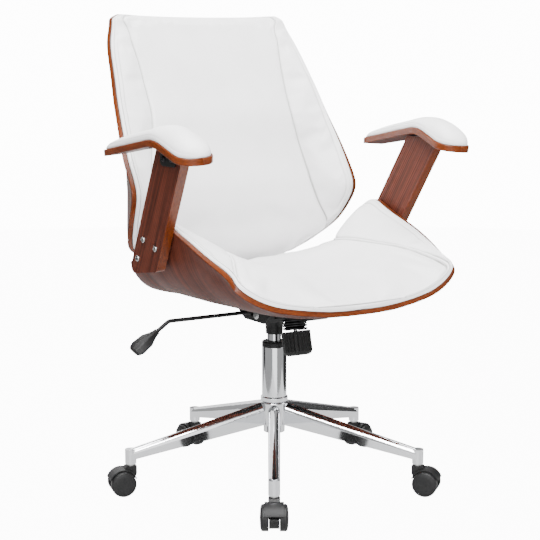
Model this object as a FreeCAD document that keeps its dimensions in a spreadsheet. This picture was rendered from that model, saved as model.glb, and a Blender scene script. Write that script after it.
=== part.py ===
import FreeCAD, Part
import Sketcher
import math
import os

# Office chair with a moulded plywood seat and back, padded in white leather.
# Millimetres, +Z up, origin on the column's axis at the floor, the sitter looks along -Y.

os.makedirs("parts", exist_ok=True)
Vector = FreeCAD.Vector
doc = FreeCAD.newDocument("office_chair")

# Driving dimensions: alias, value

sizes = [
    ("leg_count", 5), ("caster_circle", 298.5), ("leg_turn", 237.67), ("leg_width", 25), ("leg_tip_width", 22),
    ("leg_root_low", 120), ("leg_root_high", 166), ("leg_tip_low", 70), ("leg_tip_high", 91), ("leg_wall", 2),
    ("hub_radius", 29), ("hub_low", 118), ("hub_high", 168), ("socket_radius", 11.2), ("socket_low", 62),
    ("stem_radius", 5.5), ("stem_low", 36), ("stem_top_gap", 4), ("fit_gap", 0.05), ("soft_gap", 0.4),
    ("column_radius", 25), ("column_wall", 2), ("column_low", 103), ("column_high", 280), ("taper_low", 21.5),
    ("taper_high", 22.6), ("taper_bore", 19.5), ("collar_high", 178), ("collar_radius", 27.6),
    ("bush_flange", 11), ("bush_guide", 66), ("gas_radius", 14), ("gas_low", 140), ("gas_bore", 11),
    ("gas_high", 342), ("gland_depth", 20), ("rod_radius", 5), ("rod_high", 290), ("button_radius", 3.5),
    ("cone_low", 306), ("cone_radius", 17), ("cone_top_radius", 22),
    ("tray_low", 335), ("tray_step", 356), ("plate_low", 371.4), ("steel_sheet", 3), ("tray_half", 48.5),
    ("tray_front", -150), ("tray_rear", 45), ("pivot_y", -18), ("pivot_z", 351), ("pivot_radius", 5),
    ("plate_half", 103), ("plate_front", -128), ("plate_rear", 76), ("cheek_gap", 0.5), ("plate_bolt", 3),
    ("lever_z", 354.5), ("lever_radius", 4), ("lever_reach", 240), ("lever_drop", 17), ("lever_out", 25),
    ("paddle_long", 62), ("paddle_wide", 34), ("paddle_thick", 9),
    ("bolt_y", -71), ("bolt_lean", 13), ("bolt_radius", 4), ("saddle_deep", 6.2), ("spring_radius", 24.5),
    ("spring_wire", 4), ("spring_high", 34), ("spring_coils", 4),
    ("knob_radius", 29), ("knob_high", 48), ("knob_ribs", 20),
    ("pan_z", 385), ("seat_front", -296), ("seat_deep", 450), ("seat_half", 254), ("wing_rise", 175),
    ("ply", 10), ("lip_y", 220.3), ("heel_radius", 56), ("lip_top", 464), ("lap_gap", 0.8), ("seat_foam", 62),
    ("back_half", 258), ("back_low", 425), ("back_rise", 517), ("back_foam", 54),
    ("post_thick", 19), ("post_wide", 104.2), ("post_clear", 8.3), ("post_inner", "=seat_half + post_clear"),
    ("post_lean", 4.33), ("post_slope", 0.613), ("post_rear", 60.3), ("post_foot", 450), ("post_top", 697.4),
    ("post_level", 490), ("spacer_thick", 10), ("post_bolt", 3), ("bracket_screw", 2.5), ("bracket_wide", 56),
    ("board_thick", 13), ("board_half", 36), ("board_taper", 14), ("board_rear", 88), ("board_rear_z", 685),
    ("board_crest_y", -118), ("board_crest_z", 717), ("board_dip_y", -216), ("board_dip_z", 680),
    ("board_lead", -326), ("board_lead_z", 698), ("board_nose", -226), ("board_broad", -110), ("board_toe", 3.1),
    ("board_out", 34.2), ("board_middle", "=post_inner + board_out"), ("board_axis", -100),
    ("pad_high", 25), ("wheel_radius", 25), ("wheel_wide", 16.6), ("wheel_inner", 10.2), ("caster_trail", 18),
    ("axle_radius", 3), ("web_half", 9.7), ("hood_radius", 28.6), ("hood_wall", 2.4), ("hood_half", 18),
    ("hood_top", 58),
]
sheet = doc.addObject("Spreadsheet::Sheet", "Sizes")
for row, (alias, value) in enumerate(sizes, start=1):
    sheet.set("A" + str(row), alias)
    sheet.set("B" + str(row), str(value))
    sheet.setAlias("B" + str(row), alias)
doc.recompute()


# A size is a number with the sheet expression that gives it, so that sketches stay bound to the sheet

class Size:
    def __init__(self, number, text):
        self.number = float(number)
        self.text = text

    def join(self, other, sign, number):
        text = other.text if isinstance(other, Size) else repr(float(other))
        return Size(number, "(" + self.text + " " + sign + " " + text + ")")

    def __add__(self, other):
        return self.join(other, "+", self.number + plain(other))

    def __sub__(self, other):
        return self.join(other, "-", self.number - plain(other))

    def __mul__(self, other):
        return self.join(other, "*", self.number * plain(other))

    def __truediv__(self, other):
        return self.join(other, "/", self.number / plain(other))

    def __neg__(self):
        return Size(-self.number, "(0 - " + self.text + ")")

    def __rsub__(self, other):
        return -self + other

    __radd__ = __add__
    __rmul__ = __mul__


def plain(value):
    return value.number if isinstance(value, Size) else float(value)


class Sheet:
    def __getattr__(self, alias):
        return Size(sheet.get(alias), "Sizes." + alias)


s = Sheet()
zero = Size(0, "0")


def size(alias):
    return float(sheet.get(alias))


def bind(target, path, value):
    if isinstance(value, Size):
        target.setExpression(path, value.text)


# Bodies and sketches

def newBody(label):
    made = doc.addObject("PartDesign::Body", label)
    made.Label = label
    return made


def sketchOn(body, role, lift=0):
    flat = [f for f in body.Origin.OriginFeatures if f.Role == role][0]
    sketch = body.newObject("Sketcher::SketchObject", body.Label + "_sketch")
    sketch.AttachmentSupport = [(flat, "")]
    sketch.MapMode = "FlatFace"
    sketch.AttachmentOffset = FreeCAD.Placement(Vector(0, 0, plain(lift)), FreeCAD.Rotation())
    bind(sketch, "AttachmentOffset.Base.z", lift)
    return sketch


def fixPoint(sketch, piece, end, x, y):
    across = sketch.addConstraint(Sketcher.Constraint("DistanceX", -1, 1, piece, end, plain(x)))
    up = sketch.addConstraint(Sketcher.Constraint("DistanceY", -1, 1, piece, end, plain(y)))
    bind(sketch, "Constraints[%d]" % across, x)
    bind(sketch, "Constraints[%d]" % up, y)


def outline(sketch, corners):
    # corners are (x, y); a third value makes the edge that starts there an arc through that middle point,
    # a fourth is the arc's radius where it is a size of its own
    count = len(corners)
    ends = [Vector(plain(c[0]), plain(c[1]), 0) for c in corners]
    first = sketch.GeometryCount
    marks = []
    for k, corner in enumerate(corners):
        start, stop = ends[k], ends[(k + 1) % count]
        if len(corner) == 2:
            sketch.addGeometry(Part.LineSegment(start, stop), False)
            marks.append((1, 2))
            continue
        middle = Vector(plain(corner[2][0]), plain(corner[2][1]), 0)
        clockwise = (middle - start).cross(stop - middle).z < 0
        if clockwise:
            start, stop = stop, start
        sketch.addGeometry(Part.Arc(start, middle, stop), False)
        marks.append((2, 1) if clockwise else (1, 2))
    for k, corner in enumerate(corners):
        here, after = first + k, (k + 1) % count
        sketch.addConstraint(Sketcher.Constraint("Coincident", here, marks[k][1], first + after, marks[after][0]))
        fixPoint(sketch, here, marks[k][0], corner[0], corner[1])
        if len(corner) > 2:
            radius = sketch.addConstraint(Sketcher.Constraint("Radius", here, sketch.Geometry[here].Radius))
            if len(corner) > 3:
                bind(sketch, "Constraints[%d]" % radius, corner[3])
    return sketch


def ring(sketch, x, y, radius):
    piece = sketch.addGeometry(Part.Circle(Vector(plain(x), plain(y), 0), Vector(0, 0, 1), plain(radius)), False)
    fixPoint(sketch, piece, 3, x, y)
    bound = sketch.addConstraint(Sketcher.Constraint("Radius", piece, plain(radius)))
    bind(sketch, "Constraints[%d]" % bound, radius)
    return sketch


def revolve(body, corners, cut=False):
    sketch = outline(sketchOn(body, "XZ_Plane"), corners)
    kind = "PartDesign::Groove" if cut else "PartDesign::Revolution"
    turned = body.newObject(kind, body.Label + "_turned")
    turned.Profile = sketch
    turned.ReferenceAxis = (sketch, ["V_Axis"])
    turned.Angle = 360
    return turned


def pad(body, sketch, length, both=False):
    made = body.newObject("PartDesign::Pad", body.Label + "_pad")
    made.Profile = sketch
    made.Length = plain(length)
    bind(made, "Length", length)
    if both:
        made.SideType = "Symmetric"
    return made


def pocket(body, sketch, length=1000, both=True):
    made = body.newObject("PartDesign::Pocket", body.Label + "_pocket")
    made.Profile = sketch
    made.Length = plain(length)
    bind(made, "Length", length)
    if both:
        made.SideType = "Symmetric"
    return made


def roundEdges(body, picked, radius, kind="PartDesign::Fillet"):
    # picked says which edges of the body's present shape are rounded
    doc.recompute()
    base = body.Tip
    names = ["Edge%d" % (k + 1) for k, e in enumerate(base.Shape.Edges) if picked(e)]
    if not names:
        raise ValueError("no edge to round on " + body.Label)
    made = body.newObject(kind, body.Label + "_round")
    made.Base = (base, names)
    if kind.endswith("Fillet"):
        made.Radius = plain(radius)
        bind(made, "Radius", radius)
    else:
        made.Size = plain(radius)
        bind(made, "Size", radius)
    return made


def along(edge, axis):
    low, high = edge.Vertexes[0].Point, edge.Vertexes[-1].Point
    step = high - low
    return step.Length > 1e-6 and abs(step.normalize().dot(axis)) > 0.999


def place(body, x=0, y=0, z=0, axis=(0, 0, 1), angle=0):
    body.Placement = FreeCAD.Placement(
        Vector(plain(x), plain(y), plain(z)), FreeCAD.Rotation(Vector(*axis), plain(angle)))
    bind(body, "Placement.Base.x", x)
    bind(body, "Placement.Base.y", y)
    bind(body, "Placement.Base.z", z)
    bind(body, "Placement.Rotation.Angle", angle)


def feature(label, shape, where=FreeCAD.Placement()):
    made = doc.addObject("Part::Feature", label)
    made.Label = label
    made.Shape = shape
    made.Placement = where.multiply(shape.Placement)


def placed(shape, where):
    moved = shape.copy()
    moved.Placement = where.multiply(shape.Placement)
    return moved


def rotation(x, y, z, axis, angle):
    return FreeCAD.Placement(Vector(x, y, z), FreeCAD.Rotation(Vector(*axis), angle))


# Star base: a hub, five hollow legs with caster sockets, and the caster stems

def makeHub():
    body = newBody("base_hub")
    edge = 3
    flare = (s.taper_high - s.taper_low) * (s.hub_low - s.column_low) / (s.hub_high - s.column_low)
    revolve(body, [
        (s.taper_low + flare, s.hub_low), (s.hub_radius - edge, s.hub_low), (s.hub_radius, s.hub_low + edge),
        (s.hub_radius, s.hub_high - edge), (s.hub_radius - edge, s.hub_high), (s.taper_high, s.hub_high)])


def legSection(body, at, width, low, high):
    # flat foot, upright sides and a peaked round top
    sketch = sketchOn(body, "YZ_Plane", at)
    half = width / 2
    shoulder = low + (high - low) * 0.55
    bulge = low + (high - low) * 0.88
    return outline(sketch, [
        (-half, low), (half, low), (half, shoulder, (half * 0.62, bulge)),
        (zero, high, (half * -0.62, bulge)), (-half, shoulder)])


def makeLeg(number):
    body = newBody("base_leg_%d" % number)
    near = s.hub_radius - 6
    far = s.caster_circle + 2
    for name, wall in (("PartDesign::AdditiveLoft", 0), ("PartDesign::SubtractiveLoft", 1)):
        inset = s.leg_wall * wall
        root = legSection(body, near, s.leg_width - inset * 2, s.leg_root_low + inset,
                          s.leg_root_high - inset)
        tip = legSection(body, far - inset * 4, s.leg_tip_width - inset * 2, s.leg_tip_low + inset,
                         s.leg_tip_high - inset)
        loft = body.newObject(name, body.Label + "_loft")
        loft.Profile = root
        loft.Sections = [tip]
        loft.Ruled = True
    socket = ring(sketchOn(body, "XY_Plane", s.socket_low), s.caster_circle, zero, s.socket_radius)
    pad(body, socket, s.leg_tip_high - s.socket_low)
    bore = ring(sketchOn(body, "XY_Plane", s.socket_low), s.caster_circle, zero, s.stem_radius)
    hole = pocket(body, bore, s.leg_tip_high - s.socket_low - s.stem_top_gap, both=False)
    hole.Reversed = True
    pocket(body, ring(sketchOn(body, "XY_Plane"), zero, zero, s.hub_radius))
    place(body, angle=s.leg_turn + Size(360 * number, "(360 * %d)" % number) / s.leg_count)


def makeStems():
    # grip pins pressed into the five sockets, each with a washer head that the hood turns under
    shapes = []
    gap = size("fit_gap")
    for number in range(int(size("leg_count"))):
        low, high = size("stem_low"), size("leg_tip_high") - size("stem_top_gap")
        pin = Part.makeCylinder(size("stem_radius"), high - low, Vector(0, 0, low))
        collar = Part.makeCylinder(size("stem_radius") + 2.5, 3, Vector(0, 0, size("hood_top") + gap))
        pin = pin.fuse(collar).removeSplitter()
        pin.translate(Vector(size("caster_circle"), 0, 0))
        turn = size("leg_turn") + 360 * number / size("leg_count")
        pin.rotate(Vector(0, 0, 0), Vector(0, 0, 1), turn)
        shapes.append(pin)
    feature("caster_stems", Part.makeCompound(shapes))


# Gas column: outer tube, its bush and collar, the fixed piston rod, and the tube that lifts the seat

def makeColumn():
    tube = newBody("column_tube")
    bore = s.column_radius - s.column_wall
    revolve(tube, [
        (s.rod_radius + s.fit_gap * 2, s.column_low), (s.taper_low, s.column_low), (s.taper_high, s.hub_high),
        (s.column_radius, s.hub_high + 0.5), (s.column_radius, s.column_high), (bore, s.column_high),
        (bore, s.hub_high + 8), (s.taper_bore, s.hub_high + 2), (s.taper_bore, s.column_low + 5),
        (s.rod_radius + s.fit_gap * 2, s.column_low + 5)])
    collar = newBody("column_collar")
    revolve(collar, [
        (s.column_radius + 0.2, s.hub_high + 0.5), (s.collar_radius, s.hub_high + 0.5),
        (s.collar_radius, s.collar_high - 2), (s.collar_radius - 2, s.collar_high),
        (s.column_radius + 0.2, s.collar_high)])
    bush = newBody("column_bush")
    guide = s.gas_radius + s.fit_gap
    revolve(bush, [
        (guide, s.column_high - s.bush_guide), (bore - s.fit_gap, s.column_high - s.bush_guide),
        (bore - s.fit_gap, s.column_high), (s.column_radius, s.column_high),
        (s.column_radius, s.column_high + s.bush_flange - 2), (s.column_radius - 2, s.column_high + s.bush_flange),
        (guide, s.column_high + s.bush_flange)])


def makePiston():
    rod = newBody("piston_rod")
    centre = zero
    head = s.gas_bore - s.fit_gap
    revolve(rod, [
        (centre, s.column_low - 6), (s.rod_radius, s.column_low - 6), (s.rod_radius, s.rod_high - 12),
        (head, s.rod_high - 12), (head, s.rod_high), (centre, s.rod_high)])
    clip = newBody("piston_clip")
    revolve(clip, [
        (s.rod_radius, s.column_low - 2.6), (s.rod_radius + 6, s.column_low - 2.6),
        (s.rod_radius + 6, s.column_low - 0.8), (s.rod_radius, s.column_low - 0.8)])
    bearing = newBody("thrust_bearing")
    low = s.column_low + 5.2
    revolve(bearing, [
        (s.rod_radius, low), (s.taper_bore - 4, low), (s.taper_bore - 3, low + 3), (s.taper_bore - 4, low + 9),
        (s.rod_radius, low + 9)])


def makeGasTube():
    tube = newBody("gas_tube")
    taper = s.gas_radius - 1
    revolve(tube, [
        (s.rod_radius + s.fit_gap, s.gas_low), (s.gas_radius, s.gas_low), (s.gas_radius, s.cone_low),
        (taper, s.gas_high), (s.button_radius + s.fit_gap, s.gas_high), (s.button_radius + s.fit_gap, s.gas_high - 12),
        (s.gas_bore, s.gas_high - 12), (s.gas_bore, s.gas_low + s.gland_depth),
        (s.rod_radius + s.fit_gap, s.gas_low + s.gland_depth)])
    button = newBody("release_button")
    centre = zero
    revolve(button, [
        (centre, s.gas_high - 6), (s.button_radius, s.gas_high - 6),
        (s.button_radius, s.lever_z - s.lever_radius - 0.3), (centre, s.lever_z - s.lever_radius - 0.3)])


# Tilt mechanism: pressed tray with the cone that takes the gas tube, pivot pin, lever, spring and knob

def makeTray():
    body = newBody("tilt_housing")
    slope = 0.185
    top_front = s.plate_low - 1.5
    top_rear = top_front - (s.tray_rear - s.pivot_y) * slope
    outer = [
        (s.tray_front, s.tray_step), (s.bolt_y + 18, s.tray_step), (s.bolt_y + 34, s.tray_low),
        (s.tray_rear - 12, s.tray_low), (s.tray_rear, s.tray_low + 6), (s.tray_rear, top_rear),
        (s.pivot_y, top_front), (s.tray_front, top_front)]
    pad(body, outline(sketchOn(body, "YZ_Plane"), outer), s.tray_half * 2, both=True)
    sheet_wall = s.steel_sheet
    inner = [
        (s.tray_front + sheet_wall, s.tray_step + sheet_wall), (s.bolt_y + 18 + sheet_wall, s.tray_step + sheet_wall),
        (s.bolt_y + 34 + sheet_wall, s.tray_low + sheet_wall), (s.tray_rear - 12, s.tray_low + sheet_wall),
        (s.tray_rear - sheet_wall, s.tray_low + 6), (s.tray_rear - sheet_wall, s.plate_low + 20),
        (s.tray_front + sheet_wall, s.plate_low + 20)]
    pocket(body, outline(sketchOn(body, "YZ_Plane"), inner), (s.tray_half - sheet_wall) * 2)
    reach = 27
    fall = math.sin(math.radians(size("bolt_lean"))) * reach
    saddle = outline(sketchOn(body, "YZ_Plane"), [
        (s.bolt_y - reach, s.tray_step + 0.5), (s.bolt_y - reach, s.tray_step - s.saddle_deep + fall),
        (s.bolt_y + reach, s.tray_step - s.saddle_deep - fall), (s.bolt_y + reach, s.tray_step + 0.5)])
    pad(body, saddle, Size(2 * reach, str(2 * reach)), both=True)
    corner = s.tray_half * 0.55
    for side in (1, -1):
        wedge = outline(sketchOn(body, "XY_Plane"), [
            (corner * side, s.tray_front - 1), (s.tray_half * side * 1.2, s.tray_front - 1),
            (s.tray_half * side * 1.2, s.bolt_y - 22), (s.tray_half * side, s.bolt_y - 22)])
        pocket(body, wedge)
    centre = zero
    cone = outline(sketchOn(body, "XZ_Plane"), [
        (centre, s.cone_low), (s.cone_radius, s.cone_low), (s.cone_radius + 1, s.cone_low + 18),
        (s.cone_top_radius, s.tray_low), (s.cone_top_radius, s.gas_high - 1), (centre, s.gas_high - 1)])
    turned = body.newObject("PartDesign::Revolution", "cone")
    turned.Profile = cone
    turned.ReferenceAxis = (cone, ["V_Axis"])
    turned.Angle = 360
    revolve(body, [
        (centre, s.cone_low - 1), (s.gas_radius, s.cone_low - 1), (s.gas_radius, s.cone_low),
        (s.gas_radius - 1, s.gas_high), (centre, s.gas_high)], cut=True)
    pocket(body, ring(sketchOn(body, "YZ_Plane"), s.pivot_y, s.pivot_z, s.pivot_radius + s.fit_gap))
    pocket(body, ring(sketchOn(body, "YZ_Plane"), centre, s.lever_z, s.lever_radius + 0.8), s.tray_half * 2 + 4)
    pocket(body, ring(sketchOn(body, "XY_Plane"), centre, s.bolt_y, s.bolt_radius + 5))


def makeSeatPlate():
    # flat top plate with two cheeks that hang outside the tray
    body = newBody("seat_plate")
    flat = outline(sketchOn(body, "XY_Plane", s.plate_low), [
        (-s.plate_half, s.plate_front), (s.plate_half, s.plate_front), (s.plate_half, s.plate_rear),
        (-s.plate_half, s.plate_rear)])
    pad(body, flat, s.steel_sheet)
    cheek_in = s.tray_half + s.cheek_gap
    cheek = outline(sketchOn(body, "YZ_Plane"), [
        (s.plate_front + 40, s.plate_low), (s.pivot_y - 32, s.pivot_z - 9), (s.pivot_y + 48, s.pivot_z - 13),
        (s.plate_rear, s.plate_low - 6), (s.plate_rear, s.plate_low)])
    pad(body, cheek, (cheek_in + s.steel_sheet) * 2, both=True)
    core = outline(sketchOn(body, "XZ_Plane"), [
        (-cheek_in, s.plate_low), (-cheek_in, s.plate_low - 60), (cheek_in, s.plate_low - 60),
        (cheek_in, s.plate_low)])
    pocket(body, core, 600)
    pocket(body, ring(sketchOn(body, "YZ_Plane"), s.pivot_y, s.pivot_z, s.pivot_radius + s.fit_gap))
    pocket(body, ring(sketchOn(body, "YZ_Plane"), zero, s.lever_z, s.lever_radius + 4.5))
    for side in (1, -1):
        for y in (s.plate_front + 18, s.plate_rear - 20):
            hole = ring(sketchOn(body, "XY_Plane", s.plate_low), (cheek_in + 12) * side, y, s.plate_bolt)
            pocket(body, hole, 20)


def boltShape(radius, length, head_radius, head_high):
    # shank from 0 to length along +Z, domed head below 0
    shank = Part.makeCylinder(radius, length)
    dome = Part.makeCylinder(head_radius, head_high * 0.45, Vector(0, 0, -head_high * 0.45))
    top = Part.makeCone(head_radius * 0.6, head_radius, head_high * 0.55, Vector(0, 0, -head_high))
    return shank.fuse([dome, top]).removeSplitter()


def makePivot():
    half = size("tray_half") + size("cheek_gap") + size("steel_sheet")
    pin = boltShape(size("pivot_radius"), 2 * half + 7, 9, 5)
    nut = Part.makeCylinder(8.5, 5, Vector(0, 0, 2 * half), Vector(0, 0, 1))
    pin = pin.fuse(nut).removeSplitter()
    feature("pivot_pin", pin, rotation(-half, size("pivot_y"), size("pivot_z"), (0, 1, 0), 90))


def plateBoltPlaces():
    x = size("tray_half") + size("cheek_gap") + 12
    return [(side * x, y) for side in (1, -1) for y in (size("plate_front") + 18, size("plate_rear") - 20)]


def makePlateBolts():
    shapes = []
    for x, y in plateBoltPlaces():
        bolt = boltShape(size("plate_bolt"), size("steel_sheet") + size("ply") - 2, 6.5, 4.5)
        bolt.translate(Vector(x, y, size("plate_low")))
        shapes.append(bolt)
    feature("plate_bolts", Part.makeCompound(shapes))


def makeLever():
    # bent rod: inner end over the release button, outer end down to the paddle
    z = size("lever_z")
    bend = Vector(-size("lever_reach"), 0, z)
    tail = Vector(-size("lever_reach") - size("lever_out"), 0, z - size("lever_drop"))
    start = Vector(6, 0, z)
    run = (tail - bend).normalize()
    radius = 16
    turn = math.atan2(size("lever_drop"), size("lever_out"))
    back = radius * math.tan(turn / 2)
    first = bend + Vector(back, 0, 0)
    last = bend + run * back
    middle = bend + Vector(-math.sin(turn / 2), 0, -math.cos(turn / 2)) * (radius / math.cos(turn / 2) - radius)
    path = Part.Wire([
        Part.makeLine(start, first), Part.Arc(first, middle, last).toShape(),
        Part.makeLine(last, tail + run * 8)])
    section = Part.Wire([Part.makeCircle(size("lever_radius"), start, Vector(1, 0, 0))])
    rod = path.makePipeShell([section], True, False)
    feature("lever_rod", rod)


def makePaddle():
    body = newBody("lever_paddle")
    long_half = s.paddle_long / 2
    wide = s.paddle_wide / 2
    sketch = outline(sketchOn(body, "XY_Plane"), [
        (-long_half, -wide * 0.55, (long_half * -1.16, zero)), (-long_half, wide * 0.55),
        (-long_half * 0.3, wide), (long_half * 0.55, wide * 0.75), (long_half, wide * 0.3),
        (long_half, -wide * 0.3), (long_half * 0.55, -wide * 0.75), (-long_half * 0.3, -wide)])
    pad(body, sketch, s.paddle_thick, both=True)
    roundEdges(body, lambda e: abs(abs(e.CenterOfMass.z) - size("paddle_thick") / 2) < 0.01, 2.5)
    bore = ring(sketchOn(body, "YZ_Plane", s.paddle_long / 2 - 9), zero, zero, s.lever_radius)
    pocket(body, bore, 20, both=False).Reversed = True
    turn = math.degrees(math.atan2(size("lever_drop"), size("lever_out")))
    reach = size("paddle_long") / 2
    drop = math.radians(turn)
    x = -size("lever_reach") - size("lever_out") - math.cos(drop) * reach
    z = size("lever_z") - size("lever_drop") - math.sin(drop) * reach
    body.Placement = rotation(x, 0, z, (0, 1, 0), -turn)


# Recline spring on its leaning bolt: the bolt hangs from the seat plate and carries the knob

def leaning(shape, label):
    feature(label, shape, rotation(0, size("bolt_y"), size("tray_step"), (1, 0, 0), -size("bolt_lean")))


def makeTensionBolt():
    # its local Z runs down the lean from the tray's underside
    reach = size("spring_high") + size("knob_high") - 10
    top = size("plate_low") - size("tray_step") - 1.6
    bolt = Part.makeCylinder(size("bolt_radius"), reach + top, Vector(0, 0, -reach))
    plate = Part.makeCylinder(size("bolt_radius") + 3, 2, Vector(0, 0, top - 2))
    leaning(bolt.fuse(plate).removeSplitter(), "tension_bolt")


def biarc(p, a, q, b):
    # two arcs from point p with direction a to point q with direction b, tangent where they join
    chord = q - p
    sum_ = a + b
    lead = chord.dot(sum_)
    den = 2 * (1 - a.dot(b))
    reach = (-lead + math.sqrt(lead * lead + den * chord.dot(chord))) / den
    join = (p + a * reach + q - b * reach) * 0.5
    return [arcFrom(p, a, join), arcFrom(q, b * -1, join)]


def arcFrom(p, a, q):
    # the arc from p to q that leaves p along a
    chord = q - p
    across = chord - a * chord.dot(a)
    radius = chord.dot(chord) / (2 * across.Length)
    inward = across.normalize()
    centre = p + inward * radius
    half = ((p - centre) + (q - centre)).normalize() * radius
    return Part.Arc(p, centre + half, q)


def makeSpring():
    # one round wire wound on a cylinder, its two ends run straight for a wire's diameter
    wire = size("spring_wire")
    coils = int(size("spring_coils"))
    radius = size("spring_radius") - wire / 2
    top = -size("saddle_deep") * math.cos(math.radians(size("bolt_lean"))) - wire / 2 - 0.6
    low = -size("spring_high") + wire / 2 + 0.6
    steps = coils * 4
    pitch = (top - low) / coils
    points = []
    heads = []
    for k in range(steps + 1):
        turn = math.pi / 2 * k
        points.append(Vector(radius * math.cos(turn), radius * math.sin(turn), top - pitch * k / 4))
        heads.append(Vector(-radius * math.sin(turn), radius * math.cos(turn), -pitch / (2 * math.pi)).normalize())
    edges = [Part.makeLine(points[0] - heads[0] * wire, points[0])]
    for k in range(steps):
        for arc in biarc(points[k], heads[k], points[k + 1], heads[k + 1]):
            edges.append(arc.toShape())
    edges.append(Part.makeLine(points[-1], points[-1] + heads[-1] * wire))
    path = Part.Wire(Part.__sortEdges__(edges))
    section = Part.Wire([Part.makeCircle(wire / 2, points[0] - heads[0] * wire, heads[0])])
    coil = path.makePipeShell([section], True, False)
    gaps = [(points[k] - points[k + 4]).Length - wire for k in range(steps - 3)]
    print("spring: pitch %.2f, least gap between coils %.2f" % (pitch, min(gaps)))
    leaning(coil, "tension_spring")


def makeKnob():
    body = newBody("tension_knob")
    top = -s.spring_high
    low = top - s.knob_high
    centre = zero
    revolve(body, [
        (s.bolt_radius + s.fit_gap, low + 9), (s.bolt_radius + s.fit_gap, top), (s.knob_radius - 2, top),
        (s.knob_radius, top - 2), (s.knob_radius, low + 8),
        (s.knob_radius - 3, low + 2.5), (s.knob_radius - 8, low), (centre, low), (centre, low + 9)])
    depth = s.knob_high - 4
    flute = ring(sketchOn(body, "XY_Plane", top - 6), s.knob_radius + 1.4, centre, s.knob_radius * 0.09)
    cut = pocket(body, flute, depth, both=False)
    pattern = body.newObject("PartDesign::PolarPattern", "knob_ribs")
    pattern.Originals = [cut]
    pattern.Axis = ([f for f in body.Origin.OriginFeatures if f.Role == "Z_Axis"][0], [""])
    pattern.Angle = 360
    pattern.Occurrences = int(size("knob_ribs"))
    bind(pattern, "Occurrences", s.knob_ribs)
    body.Tip = pattern
    body.Placement = rotation(0, size("bolt_y"), size("tray_step"), (1, 0, 0), -size("bolt_lean"))


# Moulded shells: each station is a plane across the shell. In it the shell runs level from the middle,
# rises along a shallow dish, turns up through an arc and ends in a straight wing.

def station(y, z, lift, fold, radius, edge, rise, dish):
    angle = math.radians(lift)
    return {
        "foot": Vector(0, y, z), "up": Vector(0, -math.sin(angle), math.cos(angle)),
        "fold": fold, "radius": radius, "edge": edge, "rise": rise, "dish": min(dish, 0.72 * rise)}


def arcPoints(centre, reach, angles):
    return [(centre[0] + reach * math.sin(a), centre[1] - reach * math.cos(a)) for a in angles]


def foldPoints(st, offset):
    # half outline moved outwards by offset: start, middle and end of the dish's arc and of the fold's arc,
    # then the wing's end
    fold, edge, rise, dish = st["fold"], st["edge"], st["rise"], st["dish"]
    level = fold * 0.42
    lap = level * 0.4
    slope = math.atan2(dish, fold - level)
    first = lap / math.tan(slope / 2)
    points = arcPoints((level - lap, first), first + offset, (0, slope / 2, slope))
    turn = math.atan2(rise - dish, edge - fold)
    half = (turn - slope) / 2
    back = min(st["radius"] * math.tan(half), math.hypot(fold - level, dish) * 0.97 - lap,
               math.hypot(edge - fold, rise - dish) * 0.94)
    second = back / math.tan(half)
    centre = (fold - back * math.cos(slope) - second * math.sin(slope),
              dish - back * math.sin(slope) + second * math.cos(slope))
    points += arcPoints(centre, second + offset, (slope, slope + half, turn))
    tip = (edge + offset * math.sin(turn), rise - offset * math.cos(turn))
    return points + [tip], turn


def lifted(st, point, side=1):
    return st["foot"] + Vector(point[0] * side, 0, 0) + st["up"] * point[1]


def crossing(st, offset):
    # the edges of one face of the shell from the left wing's end to the right wing's end
    points, turn = foldPoints(st, offset)
    left = [lifted(st, p, -1) for p in reversed(points)]
    right = [lifted(st, p, 1) for p in points]
    return [
        Part.makeLine(left[0], left[1]), Part.Arc(left[1], left[2], left[3]).toShape(),
        Part.makeLine(left[3], left[4]), Part.Arc(left[4], left[5], left[6]).toShape(),
        Part.makeLine(left[6], right[0]), Part.Arc(right[0], right[1], right[2]).toShape(),
        Part.makeLine(right[2], right[3]), Part.Arc(right[3], right[4], right[5]).toShape(),
        Part.makeLine(right[5], right[6])]


def backwards(edges):
    return list(reversed(edges))


def joined(lower, upper):
    # closes two crossings into one wire with a short line at each wing's end
    first, last = lower[0].Vertexes[0].Point, lower[-1].Vertexes[-1].Point
    start, stop = upper[0].Vertexes[0].Point, upper[-1].Vertexes[-1].Point
    ring_edges = list(lower) + [Part.makeLine(last, stop)] + backwards(upper) + [Part.makeLine(start, first)]
    return Part.Wire(Part.__sortEdges__(ring_edges))


def plyShell(stations, thick):
    wires = [joined(crossing(st, 0), crossing(st, thick)) for st in stations]
    return Part.makeLoft(wires, True, False)


def crownLine(st, foam, seam, border):
    # face of the cushion: border at the wing's end, flat wing to the seam, crowned panel between the seams
    points, turn = foldPoints(st, 0)
    tip = points[-1]
    inward = (-math.sin(turn), math.cos(turn))
    top = (tip[0] + inward[0] * border - math.cos(turn) * 2, tip[1] + inward[1] * border - math.sin(turn) * 2)
    seam_point = (seam[0], seam[1])
    left = [lifted(st, p, -1) for p in (top, seam_point)]
    right = [lifted(st, p, 1) for p in (top, seam_point)]
    middle = lifted(st, (0, foam))
    return [
        Part.makeLine(left[0], left[1]), Part.Arc(left[1], middle, right[1]).toShape(),
        Part.makeLine(right[1], right[0])]


def cushionSolid(stations, crowns, gap):
    wires = []
    for st, (foam, seam_x, seam_up, border) in zip(stations, crowns):
        wires.append(joined(crossing(st, -gap), crownLine(st, foam, (seam_x, seam_up), border)))
    return Part.makeLoft(wires, True, False)


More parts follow.
